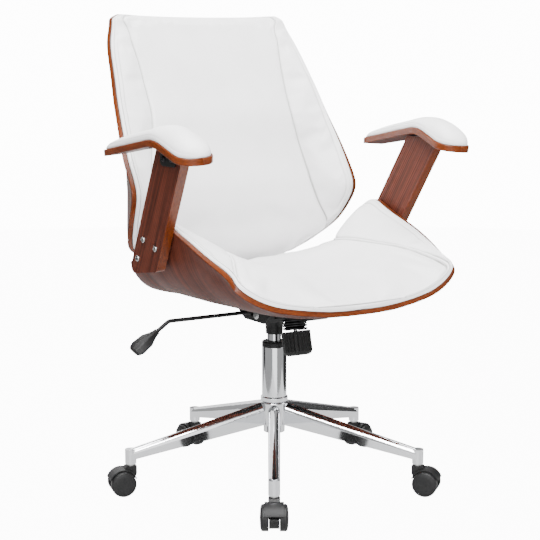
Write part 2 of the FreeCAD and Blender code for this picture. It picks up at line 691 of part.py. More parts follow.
def seatStations():
    # share of the depth, height above the pan, then fold, radius and edge as shares of the half width,
    # the wing's height as a share of its full height and the dish as a share of the half width
    rows = [
        (0.000, 14.0, 0.27, 1.14, 0.47, 0.052, 0.008), (0.020, 12.5, 0.37, 1.10, 0.690, 0.12, 0.008),
        (0.050, 10.5, 0.49, 1.04, 0.901, 0.276, 0.010), (0.100, 8.0, 0.60, 0.92, 0.956, 0.414, 0.018),
        (0.235, 5.0, 0.77, 0.67, 0.973, 0.58, 0.040), (0.420, 2.0, 0.867, 0.54, 0.997, 0.77, 0.082),
        (0.600, 0.0, 0.925, 0.47, 1.000, 0.94, 0.106), (0.690, 0.0, 0.945, 0.47, 1.000, 1.00, 0.110),
        (0.745, 0.0, 0.949, 0.46, 0.998, 0.925, 0.110), (0.830, 0.0, 0.937, 0.45, 0.984, 0.70, 0.106),
        (0.930, 0.0, 0.874, 0.38, 0.937, 0.46, 0.073)]
    half, rise = size("seat_half"), size("wing_rise")
    made = [station(
        size("seat_front") + size("seat_deep") * y, size("pan_z") + z, 0, half * fold, half * radius,
        half * edge, rise * wing, half * dish) for y, z, fold, radius, edge, wing, dish in rows]
    heel = size("heel_radius")
    axis_y, axis_z = size("lip_y") - heel, size("pan_z") + heel
    for lift, fold, radius, edge, wing, dish in (
            (25, 0.79, 0.31, 0.840, 0.29, 0.044), (48, 0.71, 0.25, 0.750, 0.15, 0.024),
            (70, 0.62, 0.17, 0.665, 0.045, 0.008), (90, 0.53, 0.12, 0.580, 0.012, 0.004)):
        angle = math.radians(lift)
        made.append(station(
            axis_y + heel * math.sin(angle), axis_z - heel * math.cos(angle), lift, half * fold, half * radius,
            half * edge, rise * wing, half * dish))
    for share, fold, edge in ((0.33, 0.50, 0.560), (0.67, 0.46, 0.525), (1, 0.41, 0.463)):
        made.append(station(
            size("lip_y"), axis_z + (size("lip_top") - axis_z) * share, 90, half * fold, half * 0.12, half * edge,
            rise * 0.01, half * 0.003))
    return made


def backStations():
    # height share, y behind the foot of the back, then fold, radius and edge as shares of the half width,
    # and how far the wing comes forward
    rows = [
        (0.000, -2.4, 0.310, 0.147, 0.407, 6), (0.010, -1.1, 0.407, 0.163, 0.512, 9),
        (0.025, -0.1, 0.535, 0.225, 0.612, 15), (0.074, 0, 0.736, 0.310, 0.822, 26),
        (0.119, -2, 0.820, 0.310, 0.905, 45), (0.165, -4, 0.853, 0.310, 0.950, 68),
        (0.204, -5, 0.860, 0.310, 0.973, 83), (0.243, -5, 0.862, 0.310, 0.988, 97),
        (0.282, -4, 0.862, 0.310, 0.998, 109), (0.321, -3, 0.860, 0.310, 1.000, 113),
        (0.360, -1, 0.853, 0.310, 0.998, 107), (0.438, 4, 0.814, 0.310, 0.996, 86),
        (0.516, 13, 0.767, 0.388, 0.981, 70), (0.593, 25, 0.717, 0.465, 0.961, 57),
        (0.671, 40, 0.678, 0.504, 0.942, 48), (0.749, 56, 0.651, 0.543, 0.915, 40),
        (0.827, 73, 0.640, 0.581, 0.888, 31), (0.905, 90, 0.640, 0.581, 0.849, 23),
        (0.969, 96.5, 0.601, 0.698, 0.804, 13), (0.990, 98.5, 0.581, 0.748, 0.775, 11),
        (1.000, 99.5, 0.550, 0.748, 0.729, 10)]
    half = size("back_half")
    foot = size("lip_y") - size("lap_gap") - size("ply")
    return [station(
        foot + y, size("back_low") + size("back_rise") * z, 90, half * fold, half * radius, half * edge, depth,
        min(half * 0.03, depth * 0.2)) for z, y, fold, radius, edge, depth in rows]


def throughSeat():
    # cylinders that cut the bolt holes in the seat shell
    tools = []
    for x, y in plateBoltPlaces():
        tools.append(Part.makeCylinder(size("plate_bolt"), size("ply") + 1, Vector(x, y, size("plate_low"))))
    for x, z in backScrewPlaces():
        tools.append(Part.makeCylinder(3.2, size("ply") + 8, Vector(x, size("lip_y") - 4, z), Vector(0, 1, 0)))
    for side in (1, -1):
        for y, z in postBoltPlaces():
            tool = Part.makeCylinder(size("post_bolt"), 60, Vector(-30, y, z - size("post_level")), Vector(1, 0, 0))
            tool.Placement = postPlacement(side).multiply(tool.Placement)
            tools.append(tool)
    return tools


def backScrewPlaces():
    low, high = size("back_low"), size("lip_top")
    return [(side * x, low + (high - low) * share) for side in (1, -1) for x, share in ((66, 0.3), (38, 0.72))]


def makeSeat():
    stations = seatStations()
    shell = plyShell(stations, size("ply"))
    feature("seat_shell", shell.cut(throughSeat()))
    # crown height, seam place and height, border thickness at each station of the cushion
    thick, half = size("seat_foam") / 62, size("seat_half") / 254
    crowns = [
        (13, 101, 16, 8), (18, 154, 28, 9), (29, 211, 49.5, 10), (41, 228, 67, 10), (55.5, 202, 91, 10),
        (62, 164, 103, 10), (60.5, 151, 103, 10), (57, 158, 96.5, 10), (54, 171, 93, 10), (49, 196, 86, 10),
        (46, 222, 74, 10), (42, 196, 47, 9), (30, 172, 31, 8)]
    crowns = [(high * thick, x * half, up * thick, border) for high, x, up, border in crowns]
    # the two lofts part and meet by a fraction of a millimetre between stations, so the shell is cut away
    # and a sliver that the cut leaves under it is dropped
    cushion = cushionSolid(stations[:len(crowns)], crowns, size("soft_gap")).cut(shell)
    feature("seat_cushion", max(cushion.Solids, key=lambda piece: piece.Volume))


def makeBack():
    stations = backStations()
    shell = plyShell(stations, size("ply"))
    holes = [Part.makeCylinder(3.2, 8, Vector(x, size("lip_y") - 8, z), Vector(0, 1, 0))
             for x, z in backScrewPlaces()]
    feature("back_shell", shell.cut(holes))
    thick, half = size("back_foam") / 54, size("back_half") / 258
    crowns = [
        (19, 82, 16, 8), (26, 112, 23, 8), (34, 140, 31, 9), (50, 188, 47, 10), (56, 222, 62, 10),
        (53.5, 224, 64.5, 10), (54, 214, 61, 10), (54, 205, 57, 10), (52, 199, 53.5, 10), (49, 193, 50.5, 10),
        (44, 189, 47.5, 10), (36, 181, 40, 10), (34.5, 174, 38, 10), (36, 168, 40, 10), (33.5, 167, 37, 10),
        (31, 169, 34.5, 10), (31, 172, 34, 10), (30, 177, 33.5, 10), (21.5, 182, 24.5, 10),
        (18.5, 184, 21.5, 9), (15.5, 178, 18.5, 8)]
    crowns = [(high * thick, x * half, up * thick, border) for high, x, up, border in crowns]
    feature("back_cushion", cushionSolid(stations, crowns, size("soft_gap")))


def makeBackScrews():
    shapes = []
    rear = size("lip_y") + size("ply")
    for x, z in backScrewPlaces():
        screw = boltShape(3.2, size("ply") + 7, 6.5, 4)
        screw.rotate(Vector(0, 0, 0), Vector(1, 0, 0), 90)
        screw.translate(Vector(x, rear, z))
        shapes.append(screw)
    feature("back_screws", Part.makeCompound(shapes))


# Arms: a leaning plywood post, a bent bracket, an S-shaped board and its pad on each side

def postPlacement(side):
    # the post's inner face: its local plane x = 0 leans outwards with height
    lean = rotation(size("post_inner"), 0, size("post_level"), (0, 1, 0), size("post_lean"))
    if side < 0:
        lean = rotation(-size("post_inner"), 0, size("post_level"), (0, 1, 0), -size("post_lean"))
    return lean


def postBoltPlaces():
    rear = size("post_rear")
    foot = size("post_foot")
    return [(rear - 43, foot + 65), (rear - 90, foot + 53), (rear - 13, foot + 25.5)]


def makePost(side, name):
    body = newBody("arm_post_" + name)
    level = s.post_level
    foot = s.post_foot - level
    top = s.post_top - level
    front = s.post_rear - s.post_wide
    slope = s.post_slope
    corners = [
        (front + 30, foot + 6), (s.post_rear + 3, foot - 6, (s.post_rear + 16, foot - 2)),
        (s.post_rear - slope * (foot + 8), foot + 8), (s.post_rear - slope * top, top),
        (s.post_rear - slope * top - 54, top + 0.5), (front - slope * (top - 13), top - 13),
        (front - slope * (foot + 18), foot + 18, (front + 19, foot + 9))]
    sketch = outline(sketchOn(body, "YZ_Plane"), corners)
    pad(body, sketch, s.post_thick).Reversed = side < 0
    for y, z in postBoltPlaces():
        hole = ring(sketchOn(body, "YZ_Plane"), y, z - size("post_level"), s.post_bolt)
        pocket(body, hole, 60)
    for y, z in bracketScrewPlaces():
        hole = ring(sketchOn(body, "YZ_Plane", s.post_thick * side), y, z, s.bracket_screw)
        pocket(body, hole, 12.5, both=False).Reversed = side < 0
    body.Placement = postPlacement(side)


def makePostHardware():
    # bolts through post and ply, with a spacer in the gap cut to the ply's slope
    bolts, spacers = [], []
    thick, reach, radius = size("post_thick"), size("spacer_thick"), size("post_bolt")
    shell = plyShell(seatStations(), size("ply"))
    for side in (1, -1):
        seat = postPlacement(side)
        inward = Vector(-side, 0, 0)
        for y, z in postBoltPlaces():
            level = z - size("post_level")
            bolt = boltShape(radius, thick + size("ply") + 1, 6.2, 4)
            bolt.rotate(Vector(0, 0, 0), Vector(0, 1, 0), -90 * side)
            bolt.translate(Vector(thick * side, y, level))
            bolts.append(placed(bolt, seat))
            ring_shape = Part.makeCylinder(9, reach, Vector(0, y, level), inward)
            ring_shape = ring_shape.cut(Part.makeCylinder(radius, reach, Vector(0, y, level), inward))
            spacers.append(placed(ring_shape, seat).cut(shell))
    feature("post_bolts", Part.makeCompound(bolts))
    feature("post_spacers", Part.makeCompound([solid for cut in spacers for solid in cut.Solids]))


def boardLine(offset):
    # side view of the board's top line moved down by offset: rear end, crest arc, dip arc, lead past the nose
    places = [
        (size("board_rear"), size("board_rear_z")), (size("board_crest_y"), size("board_crest_z")),
        (size("board_dip_y"), size("board_dip_z")), (size("board_lead"), size("board_lead_z"))]
    flat = [Vector(0, y, z) for y, z in places]
    points = [flat[0] - Vector(0, 0, offset)]
    for k, radius in ((1, 105 - offset), (2, 130 + offset)):
        before = (flat[k - 1] - flat[k]).normalize()
        after = (flat[k + 1] - flat[k]).normalize()
        half = math.acos(max(-1, min(1, before.dot(after)))) / 2
        back = radius / math.tan(half)
        corner = flat[k] - Vector(0, 0, offset / math.sin(half))
        split = (before + after).normalize()
        middle = corner + split * (radius / math.sin(half) - radius)
        points += [corner + before * back, middle, corner + after * back]
    points.append(flat[3] - Vector(0, 0, offset))
    return points


def lineEdges(points):
    return [
        Part.makeLine(points[0], points[1]), Part.Arc(points[1], points[2], points[3]).toShape(),
        Part.makeLine(points[3], points[4]), Part.Arc(points[4], points[5], points[6]).toShape(),
        Part.makeLine(points[6], points[7])]


def planOutline(inset, rear, nose):
    # top view of the board: tapered sides, square rear end, round nose
    half = size("board_half") - inset
    narrow = half - size("board_taper")
    broad = size("board_broad")
    shoulder = nose + half * 1.05
    corners = [
        Vector(-narrow, rear, 0), Vector(narrow, rear, 0), Vector(half, broad, 0), Vector(half, shoulder, 0)]
    edges = [Part.makeLine(corners[k], corners[k + 1]) for k in range(3)]
    edges.append(Part.Arc(corners[3], Vector(0, nose, 0), Vector(-half, shoulder, 0)).toShape())
    edges.append(Part.makeLine(Vector(-half, shoulder, 0), Vector(-half, broad, 0)))
    edges.append(Part.makeLine(Vector(-half, broad, 0), corners[0]))
    return Part.Face(Part.Wire(edges))


def armPlacement(side):
    # board and pad: drawn over the middle of the arm, then leaned and toed with the post
    middle = Vector(0, size("board_axis"), size("post_level") + 200)
    lean = FreeCAD.Rotation(Vector(0, 1, 0), side * size("post_lean"))
    toe = FreeCAD.Rotation(Vector(0, 0, 1), -side * size("board_toe"))
    there = FreeCAD.Placement(middle + Vector(side * size("board_middle"), 0, 0), lean.multiply(toe))
    return there.multiply(FreeCAD.Placement(middle * -1, FreeCAD.Rotation()))


def boardSlab(upper, lower):
    # the board's line as a slab between two depths under its top, wider than the board
    high, low = lineEdges(boardLine(upper)), lineEdges(boardLine(lower))
    ends = [Part.makeLine(high[-1].Vertexes[-1].Point, low[-1].Vertexes[-1].Point),
            Part.makeLine(low[0].Vertexes[0].Point, high[0].Vertexes[0].Point)]
    side_face = Part.Face(Part.Wire(Part.__sortEdges__(high + ends + low)))
    slab = side_face.extrude(Vector(4 * size("board_half"), 0, 0))
    slab.translate(Vector(-2 * size("board_half"), 0, 0))
    return slab


def makeBoard(side, name):
    slab = boardSlab(0, size("board_thick"))
    plan = planOutline(0, size("board_rear"), size("board_nose"))
    cutter = plan.extrude(Vector(0, 0, 400))
    cutter.translate(Vector(0, 0, 500))
    feature("arm_board_" + name, slab.common(cutter), armPlacement(side))


def boardTop(y):
    # height of the board's top line at y
    points = boardLine(0)
    edges = lineEdges(points)
    wire = Part.Wire(Part.__sortEdges__(edges))
    probe = Part.makeLine(Vector(0, y, 0), Vector(0, y, 2000))
    return wire.distToShape(probe)[1][0][0].z


def makePad(side, name):
    # crowned loft: level underside on the board, drawn-in sides, round top, thicker towards the nose
    rear, nose, full = size("board_rear") - 1, size("board_nose") + 3, size("pad_high")
    rows = [
        (0.000, 0.58, 0.20), (0.020, 0.60, 0.36), (0.080, 0.64, 0.56), (0.220, 0.72, 0.70), (0.400, 0.83, 0.76),
        (0.550, 0.93, 0.80), (0.680, 0.99, 0.96), (0.780, 1.00, 1.16), (0.860, 1.00, 1.24), (0.920, 0.94, 1.12),
        (0.950, 0.81, 0.98), (0.970, 0.66, 0.80), (0.985, 0.48, 0.60), (1.000, 0.20, 0.28)]
    half = size("board_half") - 0.5
    wires = []
    for share, wide, high in rows:
        y = rear + (nose - rear) * share
        base = boardTop(y) - 3
        w, h = half * wide, full * high + 3
        low_left, low_right = Vector(-w + 1.5, y, base), Vector(w - 1.5, y, base)
        left, right = Vector(-w, y, base + h * 0.35), Vector(w, y, base + h * 0.35)
        wires.append(Part.Wire([
            Part.makeLine(low_left, low_right), Part.makeLine(low_right, right),
            Part.Arc(right, Vector(0, y, base + h), left).toShape(), Part.makeLine(left, low_left)]))
    above = lineEdges(boardLine(-size("soft_gap")))
    start, stop = above[0].Vertexes[0].Point, above[-1].Vertexes[-1].Point
    high = Vector(0, 0, 90)
    over = Part.Face(Part.Wire(Part.__sortEdges__(above + [
        Part.makeLine(stop, stop + high), Part.makeLine(stop + high, start + high),
        Part.makeLine(start + high, start)])))
    keep = over.extrude(Vector(2 * half, 0, 0))
    keep.translate(Vector(-half, 0, 0))
    feature("arm_pad_" + name, Part.makeLoft(wires, True, False).common(keep), armPlacement(side))


def bracketScrewPlaces():
    top = size("post_top") - size("post_level") + 0.5
    return [(y, top - 20) for y in (-126, -96)]


def makeBrackets():
    # upright flange on the post's outer face, upper flange bent to the board's underside, round-headed screws
    screws = []
    thick, wall, radius = size("post_thick"), size("steel_sheet"), size("bracket_screw")
    front, wide = -138, size("bracket_wide")
    top = size("post_top") - size("post_level") + 0.5
    under = size("board_thick")
    board = postPlacement(1).inverse().multiply(armPlacement(1))
    for side, name in ((1, "left"), (-1, "right")):
        upright = Part.makeBox(wall, wide, 60, Vector(thick, front, top - 34))
        corners = [e for e in upright.Edges if along(e, Vector(1, 0, 0)) and e.CenterOfMass.z < top - 20]
        upright = upright.makeFillet(8, corners)
        upright = upright.cut(placed(boardSlab(-60, under + wall / 2), board))
        level = Part.makeBox(24, wide, 60, Vector(thick, front, top - 30))
        level = level.common(placed(boardSlab(under, under + wall), board))
        bracket = upright.fuse(level).removeSplitter()
        for y, z in bracketScrewPlaces():
            bracket = bracket.cut(Part.makeCylinder(radius, 10, Vector(thick - 3, y, z), Vector(1, 0, 0)))
            screw = boltShape(radius, wall + 12, 5.5, 3)
            screw.rotate(Vector(0, 0, 0), Vector(0, 1, 0), -90 * side)
            screw.translate(Vector((thick + wall) * side, y, z))
            screws.append(placed(screw, postPlacement(side)))
        if side < 0:
            bracket = bracket.mirror(Vector(0, 0, 0), Vector(1, 0, 0))
        feature("arm_bracket_" + name, bracket, postPlacement(side))
    feature("bracket_screws", Part.makeCompound(screws))


# Twin-wheel casters: hood with its web and fender, axle and two wheels

def casterPlacement(number):
    turn = size("leg_turn") + 360 * number / size("leg_count")
    return rotation(0, 0, 0, (0, 0, 1), turn)


def bindTurn(body, number):
    place(body, angle=s.leg_turn + Size(360 * number, "(360 * %d)" % number) / s.leg_count)


def makeHood(number):
    body = newBody("caster_hood_%d" % number)
    middle = s.caster_circle + s.caster_trail
    axle_z = s.wheel_radius
    centre = zero
    web = 20.5
    boss = 10.5
    sketch = outline(sketchOn(body, "XZ_Plane"), [
        (s.caster_circle - boss, s.hood_top), (s.caster_circle + boss, s.hood_top),
        (middle + web, axle_z, (middle + 0.3 * web, axle_z - 0.954 * web)),
        (middle - web, axle_z), (s.caster_circle - boss, axle_z + 18)])
    pad(body, sketch, s.web_half * 2, both=True)
    cover = sketchOn(body, "XZ_Plane")
    inner = s.hood_radius - s.hood_wall
    tilt = 0.34
    lean, rise = math.cos(tilt), math.sin(tilt)
    outline(cover, [
        (middle + s.hood_radius * lean, axle_z + s.hood_radius * rise,
         (middle, axle_z + s.hood_radius), s.hood_radius),
        (middle - s.hood_radius * lean, axle_z + s.hood_radius * rise),
        (middle - inner * lean, axle_z + inner * rise, (middle, axle_z + inner), inner),
        (middle + inner * lean, axle_z + inner * rise)])
    pad(body, cover, s.hood_half * 2, both=True)
    top = ring(sketchOn(body, "XY_Plane", s.hood_top), s.caster_circle, centre, s.socket_radius)
    pad(body, top, s.hood_top - axle_z - 25).Reversed = True
    pocket(body, ring(sketchOn(body, "XY_Plane", s.hood_top), s.caster_circle, centre, s.stem_radius + s.fit_gap),
           s.hood_top - s.stem_low + 1, both=False)
    pocket(body, ring(sketchOn(body, "XZ_Plane"), middle, axle_z, s.axle_radius), 60)
    bindTurn(body, number)


def makeAxle(number):
    half = size("wheel_inner") + size("wheel_wide") - 4
    pin = Part.makeCylinder(size("axle_radius"), 2 * half, Vector(0, -half, 0), Vector(0, 1, 0))
    pin.translate(Vector(size("caster_circle") + size("caster_trail"), 0, size("wheel_radius")))
    feature("caster_axle_%d" % number, pin, casterPlacement(number))


def makeWheel(number, side, name):
    # tread, round shoulder, dished outer disc with a rim groove, bore for the axle
    body = newBody("wheel_%s_%d" % (name, number))
    wide = s.wheel_wide
    centre = zero
    outer = s.wheel_radius
    bore = s.axle_radius + s.fit_gap
    corners = [
        (bore, centre), (outer - 1, centre), (outer, centre + 1), (outer, wide - 7),
        (outer - 2, wide - 3), (outer - 6, wide - 0.6), (outer - 7.5, wide - 1.4), (outer - 9, wide),
        (centre, wide), (centre, wide - 3), (bore, wide - 3)]
    revolve(body, corners)
    middle = s.caster_circle + s.caster_trail
    turn = size("leg_turn") + 360 * number / size("leg_count")
    spin = rotation(0, 0, 0, (0, 0, 1), turn)
    place_here = rotation(plain(middle), side * size("wheel_inner"), plain(outer), (1, 0, 0), -90 * side)
    body.Placement = spin.multiply(place_here)


makeHub()
for number in range(int(size("leg_count"))):
    makeLeg(number)
makeStems()
makeColumn()
makePiston()
makeGasTube()
makeTray()
makeSeatPlate()
makePivot()
makePlateBolts()
makeLever()
makePaddle()
makeTensionBolt()
makeSpring()
makeKnob()
makeSeat()
makeBack()
makeBackScrews()
for side, name in ((1, "left"), (-1, "right")):
    makePost(side, name)
    makeBoard(side, name)
    makePad(side, name)
makePostHardware()
makeBrackets()
for number in range(int(size("leg_count"))):
    makeHood(number)
    makeAxle(number)
    makeWheel(number, 1, "left")
    makeWheel(number, -1, "right")
doc.recompute()

# Every object has to be sound before anything is written

for item in doc.Objects:
    if "Invalid" in item.State or "Error" in item.State:
        raise ValueError("failed: " + item.Name + " " + str(item.State))
parts = [item for item in doc.Objects if item.TypeId == "PartDesign::Body" or item.TypeId == "Part::Feature"]
for item in parts:
    if item.Shape.isNull() or not item.Shape.isValid():
        raise ValueError("bad shape: " + item.Label)
for item in parts:
    item.Shape.exportStep("parts/" + item.Label + ".step")
    box = item.Shape.BoundBox
    print("%-18s %2d solid(s) %9.0f mm3  x %6.1f %6.1f  y %6.1f %6.1f  z %6.1f %6.1f" % (
        item.Label, len(item.Shape.Solids), item.Shape.Volume, box.XMin, box.XMax, box.YMin, box.YMax,
        box.ZMin, box.ZMax))
print(len(parts), "nodes")
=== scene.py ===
import math

import bmesh
import bpy
import numpy as np
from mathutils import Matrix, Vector


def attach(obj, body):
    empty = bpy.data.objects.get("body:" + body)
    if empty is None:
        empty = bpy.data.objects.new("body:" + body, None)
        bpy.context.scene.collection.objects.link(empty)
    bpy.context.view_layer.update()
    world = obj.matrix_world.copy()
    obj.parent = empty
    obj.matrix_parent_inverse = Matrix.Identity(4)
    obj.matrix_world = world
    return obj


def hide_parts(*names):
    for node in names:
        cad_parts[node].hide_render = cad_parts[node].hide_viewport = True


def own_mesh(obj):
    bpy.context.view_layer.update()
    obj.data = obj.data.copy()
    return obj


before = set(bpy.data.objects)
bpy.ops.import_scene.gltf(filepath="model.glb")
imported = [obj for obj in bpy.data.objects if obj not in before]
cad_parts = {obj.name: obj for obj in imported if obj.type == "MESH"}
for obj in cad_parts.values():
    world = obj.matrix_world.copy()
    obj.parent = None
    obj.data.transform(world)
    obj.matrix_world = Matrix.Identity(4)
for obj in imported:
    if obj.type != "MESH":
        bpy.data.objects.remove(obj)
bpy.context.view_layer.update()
mm = 0.001

# Camera: the photograph's place, as an azimuth round the chair and an elevation above the floor
cameraSetup = {
    "azimuth": -32.33, "elevation": 8.64, "distance": 2.884, "aim": (0.0, 0.0, 0.440), "lens": 96.0,
    "sensor": 36.0, "shiftX": -0.0078, "shiftY": -0.0052, "clip": (0.05, 60)}


def standing(name, data, place, ahead):
    # a camera or lamp at its place, facing a direction
    made = bpy.data.objects.new(name, data)
    bpy.context.scene.collection.objects.link(made)
    made.location = place
    made.rotation_mode = "QUATERNION"
    made.rotation_quaternion = ahead.to_track_quat("-Z", "Y")
    return made


def makeCamera(setup):
    # it stands back from its aim along the two angles and looks straight at it
    a, e = math.radians(setup["azimuth"]), math.radians(setup["elevation"])
    back = Vector((math.sin(a) * math.cos(e), -math.cos(a) * math.cos(e), math.sin(e)))
    data = bpy.data.cameras.new("camera")
    camera = standing("camera", data, Vector(setup["aim"]) + back * setup["distance"], -back)
    data.lens = setup["lens"]
    data.sensor_width = setup["sensor"]
    data.shift_x = setup["shiftX"]
    data.shift_y = setup["shiftY"]
    data.clip_start, data.clip_end = setup["clip"]
    bpy.context.scene.camera = camera


makeCamera(cameraSetup)
print("camera placed")

# Shader maths: a Wire is one number or vector in a material, and + - * on it add the Math nodes


class Wire:
    def __init__(self, net, socket):
        self.net, self.socket = net, socket

    def maths(self, operation, *others):
        return self.net.add("ShaderNodeMath", {"operation": operation}, [self, *others])

    def __add__(self, other):
        return self.maths("ADD", other)

    def __sub__(self, other):
        return self.maths("SUBTRACT", other)

    def __mul__(self, other):
        return self.maths("MULTIPLY", other)

    def __rsub__(self, other):
        return self.net.add("ShaderNodeMath", {"operation": "SUBTRACT"}, [other, self])

    __radd__ = __add__
    __rmul__ = __mul__

    def smooth(self, low, high):
        # 0 below low, 1 above high, an S-shaped rise between
        return self.net.add(
            "ShaderNodeMapRange", {"interpolation_type": "SMOOTHSTEP"}, [self, low, high, 0.0, 1.0])


class Net:
    # one material and its nodes; add() makes any node from its type, its settings and its inputs in order
    def __init__(self, name):
        self.material = bpy.data.materials.new(name)
        self.material.use_nodes = True
        self.nodes = self.material.node_tree.nodes
        self.links = self.material.node_tree.links
        self.shader = self.nodes["Principled BSDF"]

    def add(self, kind, settings=None, inputs=(), output=0, **named):
        node = self.nodes.new(kind)
        for key, value in (settings or {}).items():
            setattr(node, key, value)
        for key, value in list(enumerate(inputs)) + list(named.items()):
            if value is not None:
                self.feed(node.inputs[key.replace("_", " ") if isinstance(key, str) else key], value)
        return Wire(self, node.outputs[output])

    def feed(self, socket, value):
        if isinstance(value, Wire):
            self.links.new(value.socket, socket)
        else:
            socket.default_value = value

    def coords(self, scale=(1, 1, 1)):
        place = self.add("ShaderNodeTexCoord", output="Object")
        return self.add("ShaderNodeMapping", {}, Vector=place, Scale=scale)

    def split(self, vector):
        node = self.nodes.new("ShaderNodeSeparateXYZ")
        self.links.new(vector.socket, node.inputs[0])
        return [Wire(self, out) for out in node.outputs]

    def streaks(self, across, along, seed, detail, rough=0.55):
        # noise that is drawn out because each direction comes with a scale of its own
        return self.noise(self.add("ShaderNodeCombineXYZ", {}, [across, along, seed]), 1.0, detail, rough)

    def noise(self, where, scale, detail=3.0, rough=0.55):
        return self.add("ShaderNodeTexNoise", {}, Vector=where, Scale=scale, Detail=detail, Roughness=rough)

    def blendColours(self, factor, first, second):
        node = self.nodes.new("ShaderNodeMix")
        node.data_type = "RGBA"
        self.feed(node.inputs["Factor"], factor)
        self.feed(node.inputs[6], first if isinstance(first, Wire) else (*first, 1))
        self.feed(node.inputs[7], second if isinstance(second, Wire) else (*second, 1))
        return Wire(self, node.outputs[2])

    def bump(self, height, strength, distance=0.001, under=None):
        return self.add(
            "ShaderNodeBump", {}, Height=height, Strength=strength, Distance=distance, Normal=under)

    def finish(self, **sockets):
        for key, value in sockets.items():
            value = value if isinstance(value, (Wire, float, int)) or len(value) == 4 else (*value, 1)
            self.feed(self.shader.inputs[key.replace("_", " ")], value)
        return self.material


# seam is the grey of the painted shade in the sewn grooves; light and shade are two near-white tones mixed at
# random
leatherLook = {
    "light": (0.80, 0.795, 0.80), "shade": (0.755, 0.75, 0.755), "seam": (0.36, 0.355, 0.35), "grain": 900.0,
    "depth": 0.35}


def makeLeather(look, name):
    # colour: two near whites by a slow noise, greyed towards the seam grey by the mesh's own seam mark, which
    # is painted shade in the sewn grooves and along the foot where the leather meets the wood;
    # height: pebble cells about a millimetre wide plus soft creases
    net = Net(name)
    where = net.coords()
    patch = net.noise(where, 9.0, 4.0)
    cells = net.add("ShaderNodeTexVoronoi", {"feature": "SMOOTH_F1"}, Vector=where, Scale=look["grain"])
    creases = net.noise(where, 140.0, 5.0, 0.6)
    rough = net.noise(where, 30.0, 3.0) * 0.1 + 0.36
    grain = net.bump(cells * 0.6 + creases * 0.9, look["depth"], 0.0004)
    slow = net.bump(net.noise(where, 22.0, 2.0), 0.25, 0.002, grain)
    tint = net.blendColours(patch.smooth(0.35, 0.65), look["light"], look["shade"])
    # painted shade: the seam attribute greys the leather in its grooves
    seam = net.add("ShaderNodeAttribute", {"attribute_name": "seam"}, output=2)
    return net.finish(
        Base_Color=net.blendColours(seam.smooth(0.05, 1.0), tint, look["seam"]), Roughness=rough,
        Normal=slow, Coat_Weight=0.12, Coat_Roughness=0.35, Specular_IOR_Level=0.45)


veneerLook = {
    "dark": (0.024, 0.0056, 0.0032), "mid": (0.094, 0.0225, 0.0120), "light": (0.125, 0.034, 0.018),
    # how often a metre each pattern repeats, across the grain and along it
    "fine": (300.0, 3.0), "bands": (46.0, 0.9), "pores": (1500.0, 38.0), "rings": 190.0, "ringDark": 0.75,
    "wander": 0.006}


def makeVeneer(look, name):
    # fine straight grain along the UV's second axis: noise squeezed across the grain and drawn out along it,
    # with a thin dark line wherever the distance across, pushed about by slow noise, passes a whole ring
    net = Net(name)
    uv = net.add("ShaderNodeUVMap", {"uv_map": "UVMap"})
    wander = net.noise(net.add("ShaderNodeMapping", {}, Vector=uv, Scale=(6, 2.2, 1)), 1.0, 2.0)
    u, v = net.split(uv)[:2]
    across = u + (wander - 0.5) * look["wander"]
    layers = {"fine": (0.0, 6.0, 0.62), "bands": (3.0, 3.0), "pores": (7.0, 2.0)}  # seed, detail, roughness
    grain, bands, pores = (
        net.streaks(across * look[k][0], v * look[k][1], *noise) for k, noise in layers.items())
    openPores = pores.smooth(0.56, 0.72)
    base = net.blendColours(grain.smooth(0.33, 0.60), look["dark"], look["mid"])
    base = net.blendColours(bands.smooth(0.40, 0.75) * 0.25, base, look["light"])
    ring = ((across * look["rings"] + bands * 0.9).maths("FRACT") - 0.5).maths("ABSOLUTE").smooth(0.30, 0.46)
    base = net.blendColours(ring * look["ringDark"], base, look["dark"])
    base = net.blendColours(openPores * 0.45, base, look["dark"])
    relief = net.bump(grain * 0.4 - openPores * 0.5, 0.12, 0.0003)
    return net.finish(
        Base_Color=base, Roughness=grain * 0.12 + 0.42, Normal=relief, Coat_Weight=0.03, Coat_Roughness=0.25,
        Specular_IOR_Level=0.09)


plyLook = {
    "dark": (0.048, 0.0080, 0.0010), "light": (0.145, 0.028, 0.0018), "face": (0.022, 0.005, 0.003),
    # layers in a board of this thickness; skin is the thickness whose two faces get a dark line, or none
    "layers": 7.0, "thick": 0.012, "skin": 0.0}


def makePlyEdge(look, name):
    # glued layers across the thickness: dark glue lines by depth, pushed about by noise, over streaks along
    # the edge, and the dark face veneers within a millimetre of both faces where the look has a skin
    net = Net(name)
    uv = net.add("ShaderNodeUVMap", {"uv_map": "UVMap"})
    u, v = net.split(uv)[:2]
    wobble = net.streaks(u * 9.0, v * 60.0, 0.0, 3.0)
    layer = (v * (look["layers"] / look["thick"]) + wobble * 0.7).maths("FRACT")
    seam = (layer - 0.5).maths("ABSOLUTE").smooth(0.30, 0.5)
    streak = net.streaks(u * 130.0, v * 900.0, 2.0, 4.0)
    wide = net.streaks(u * 14.0, v * 120.0, 5.0, 3.0)
    pale = streak.smooth(0.3, 0.7) * 0.7 + wide.smooth(0.35, 0.65) * 0.3
    base = net.blendColours(pale, look["dark"], look["light"])
    base = net.blendColours(seam * 0.45, base, look["dark"])
    if look["skin"]:
        half = look["skin"] / 2
        skin = (v - half).maths("ABSOLUTE").smooth(half - 0.0012, half - 0.0006)
        base = net.blendColours(skin * 0.8, base, look["face"])
    return net.finish(
        Base_Color=base, Roughness=streak * 0.1 + 0.3, Normal=net.bump(streak - seam, 0.1, 0.0002),
        Coat_Weight=0.08, Coat_Roughness=0.12, Specular_IOR_Level=0.22)


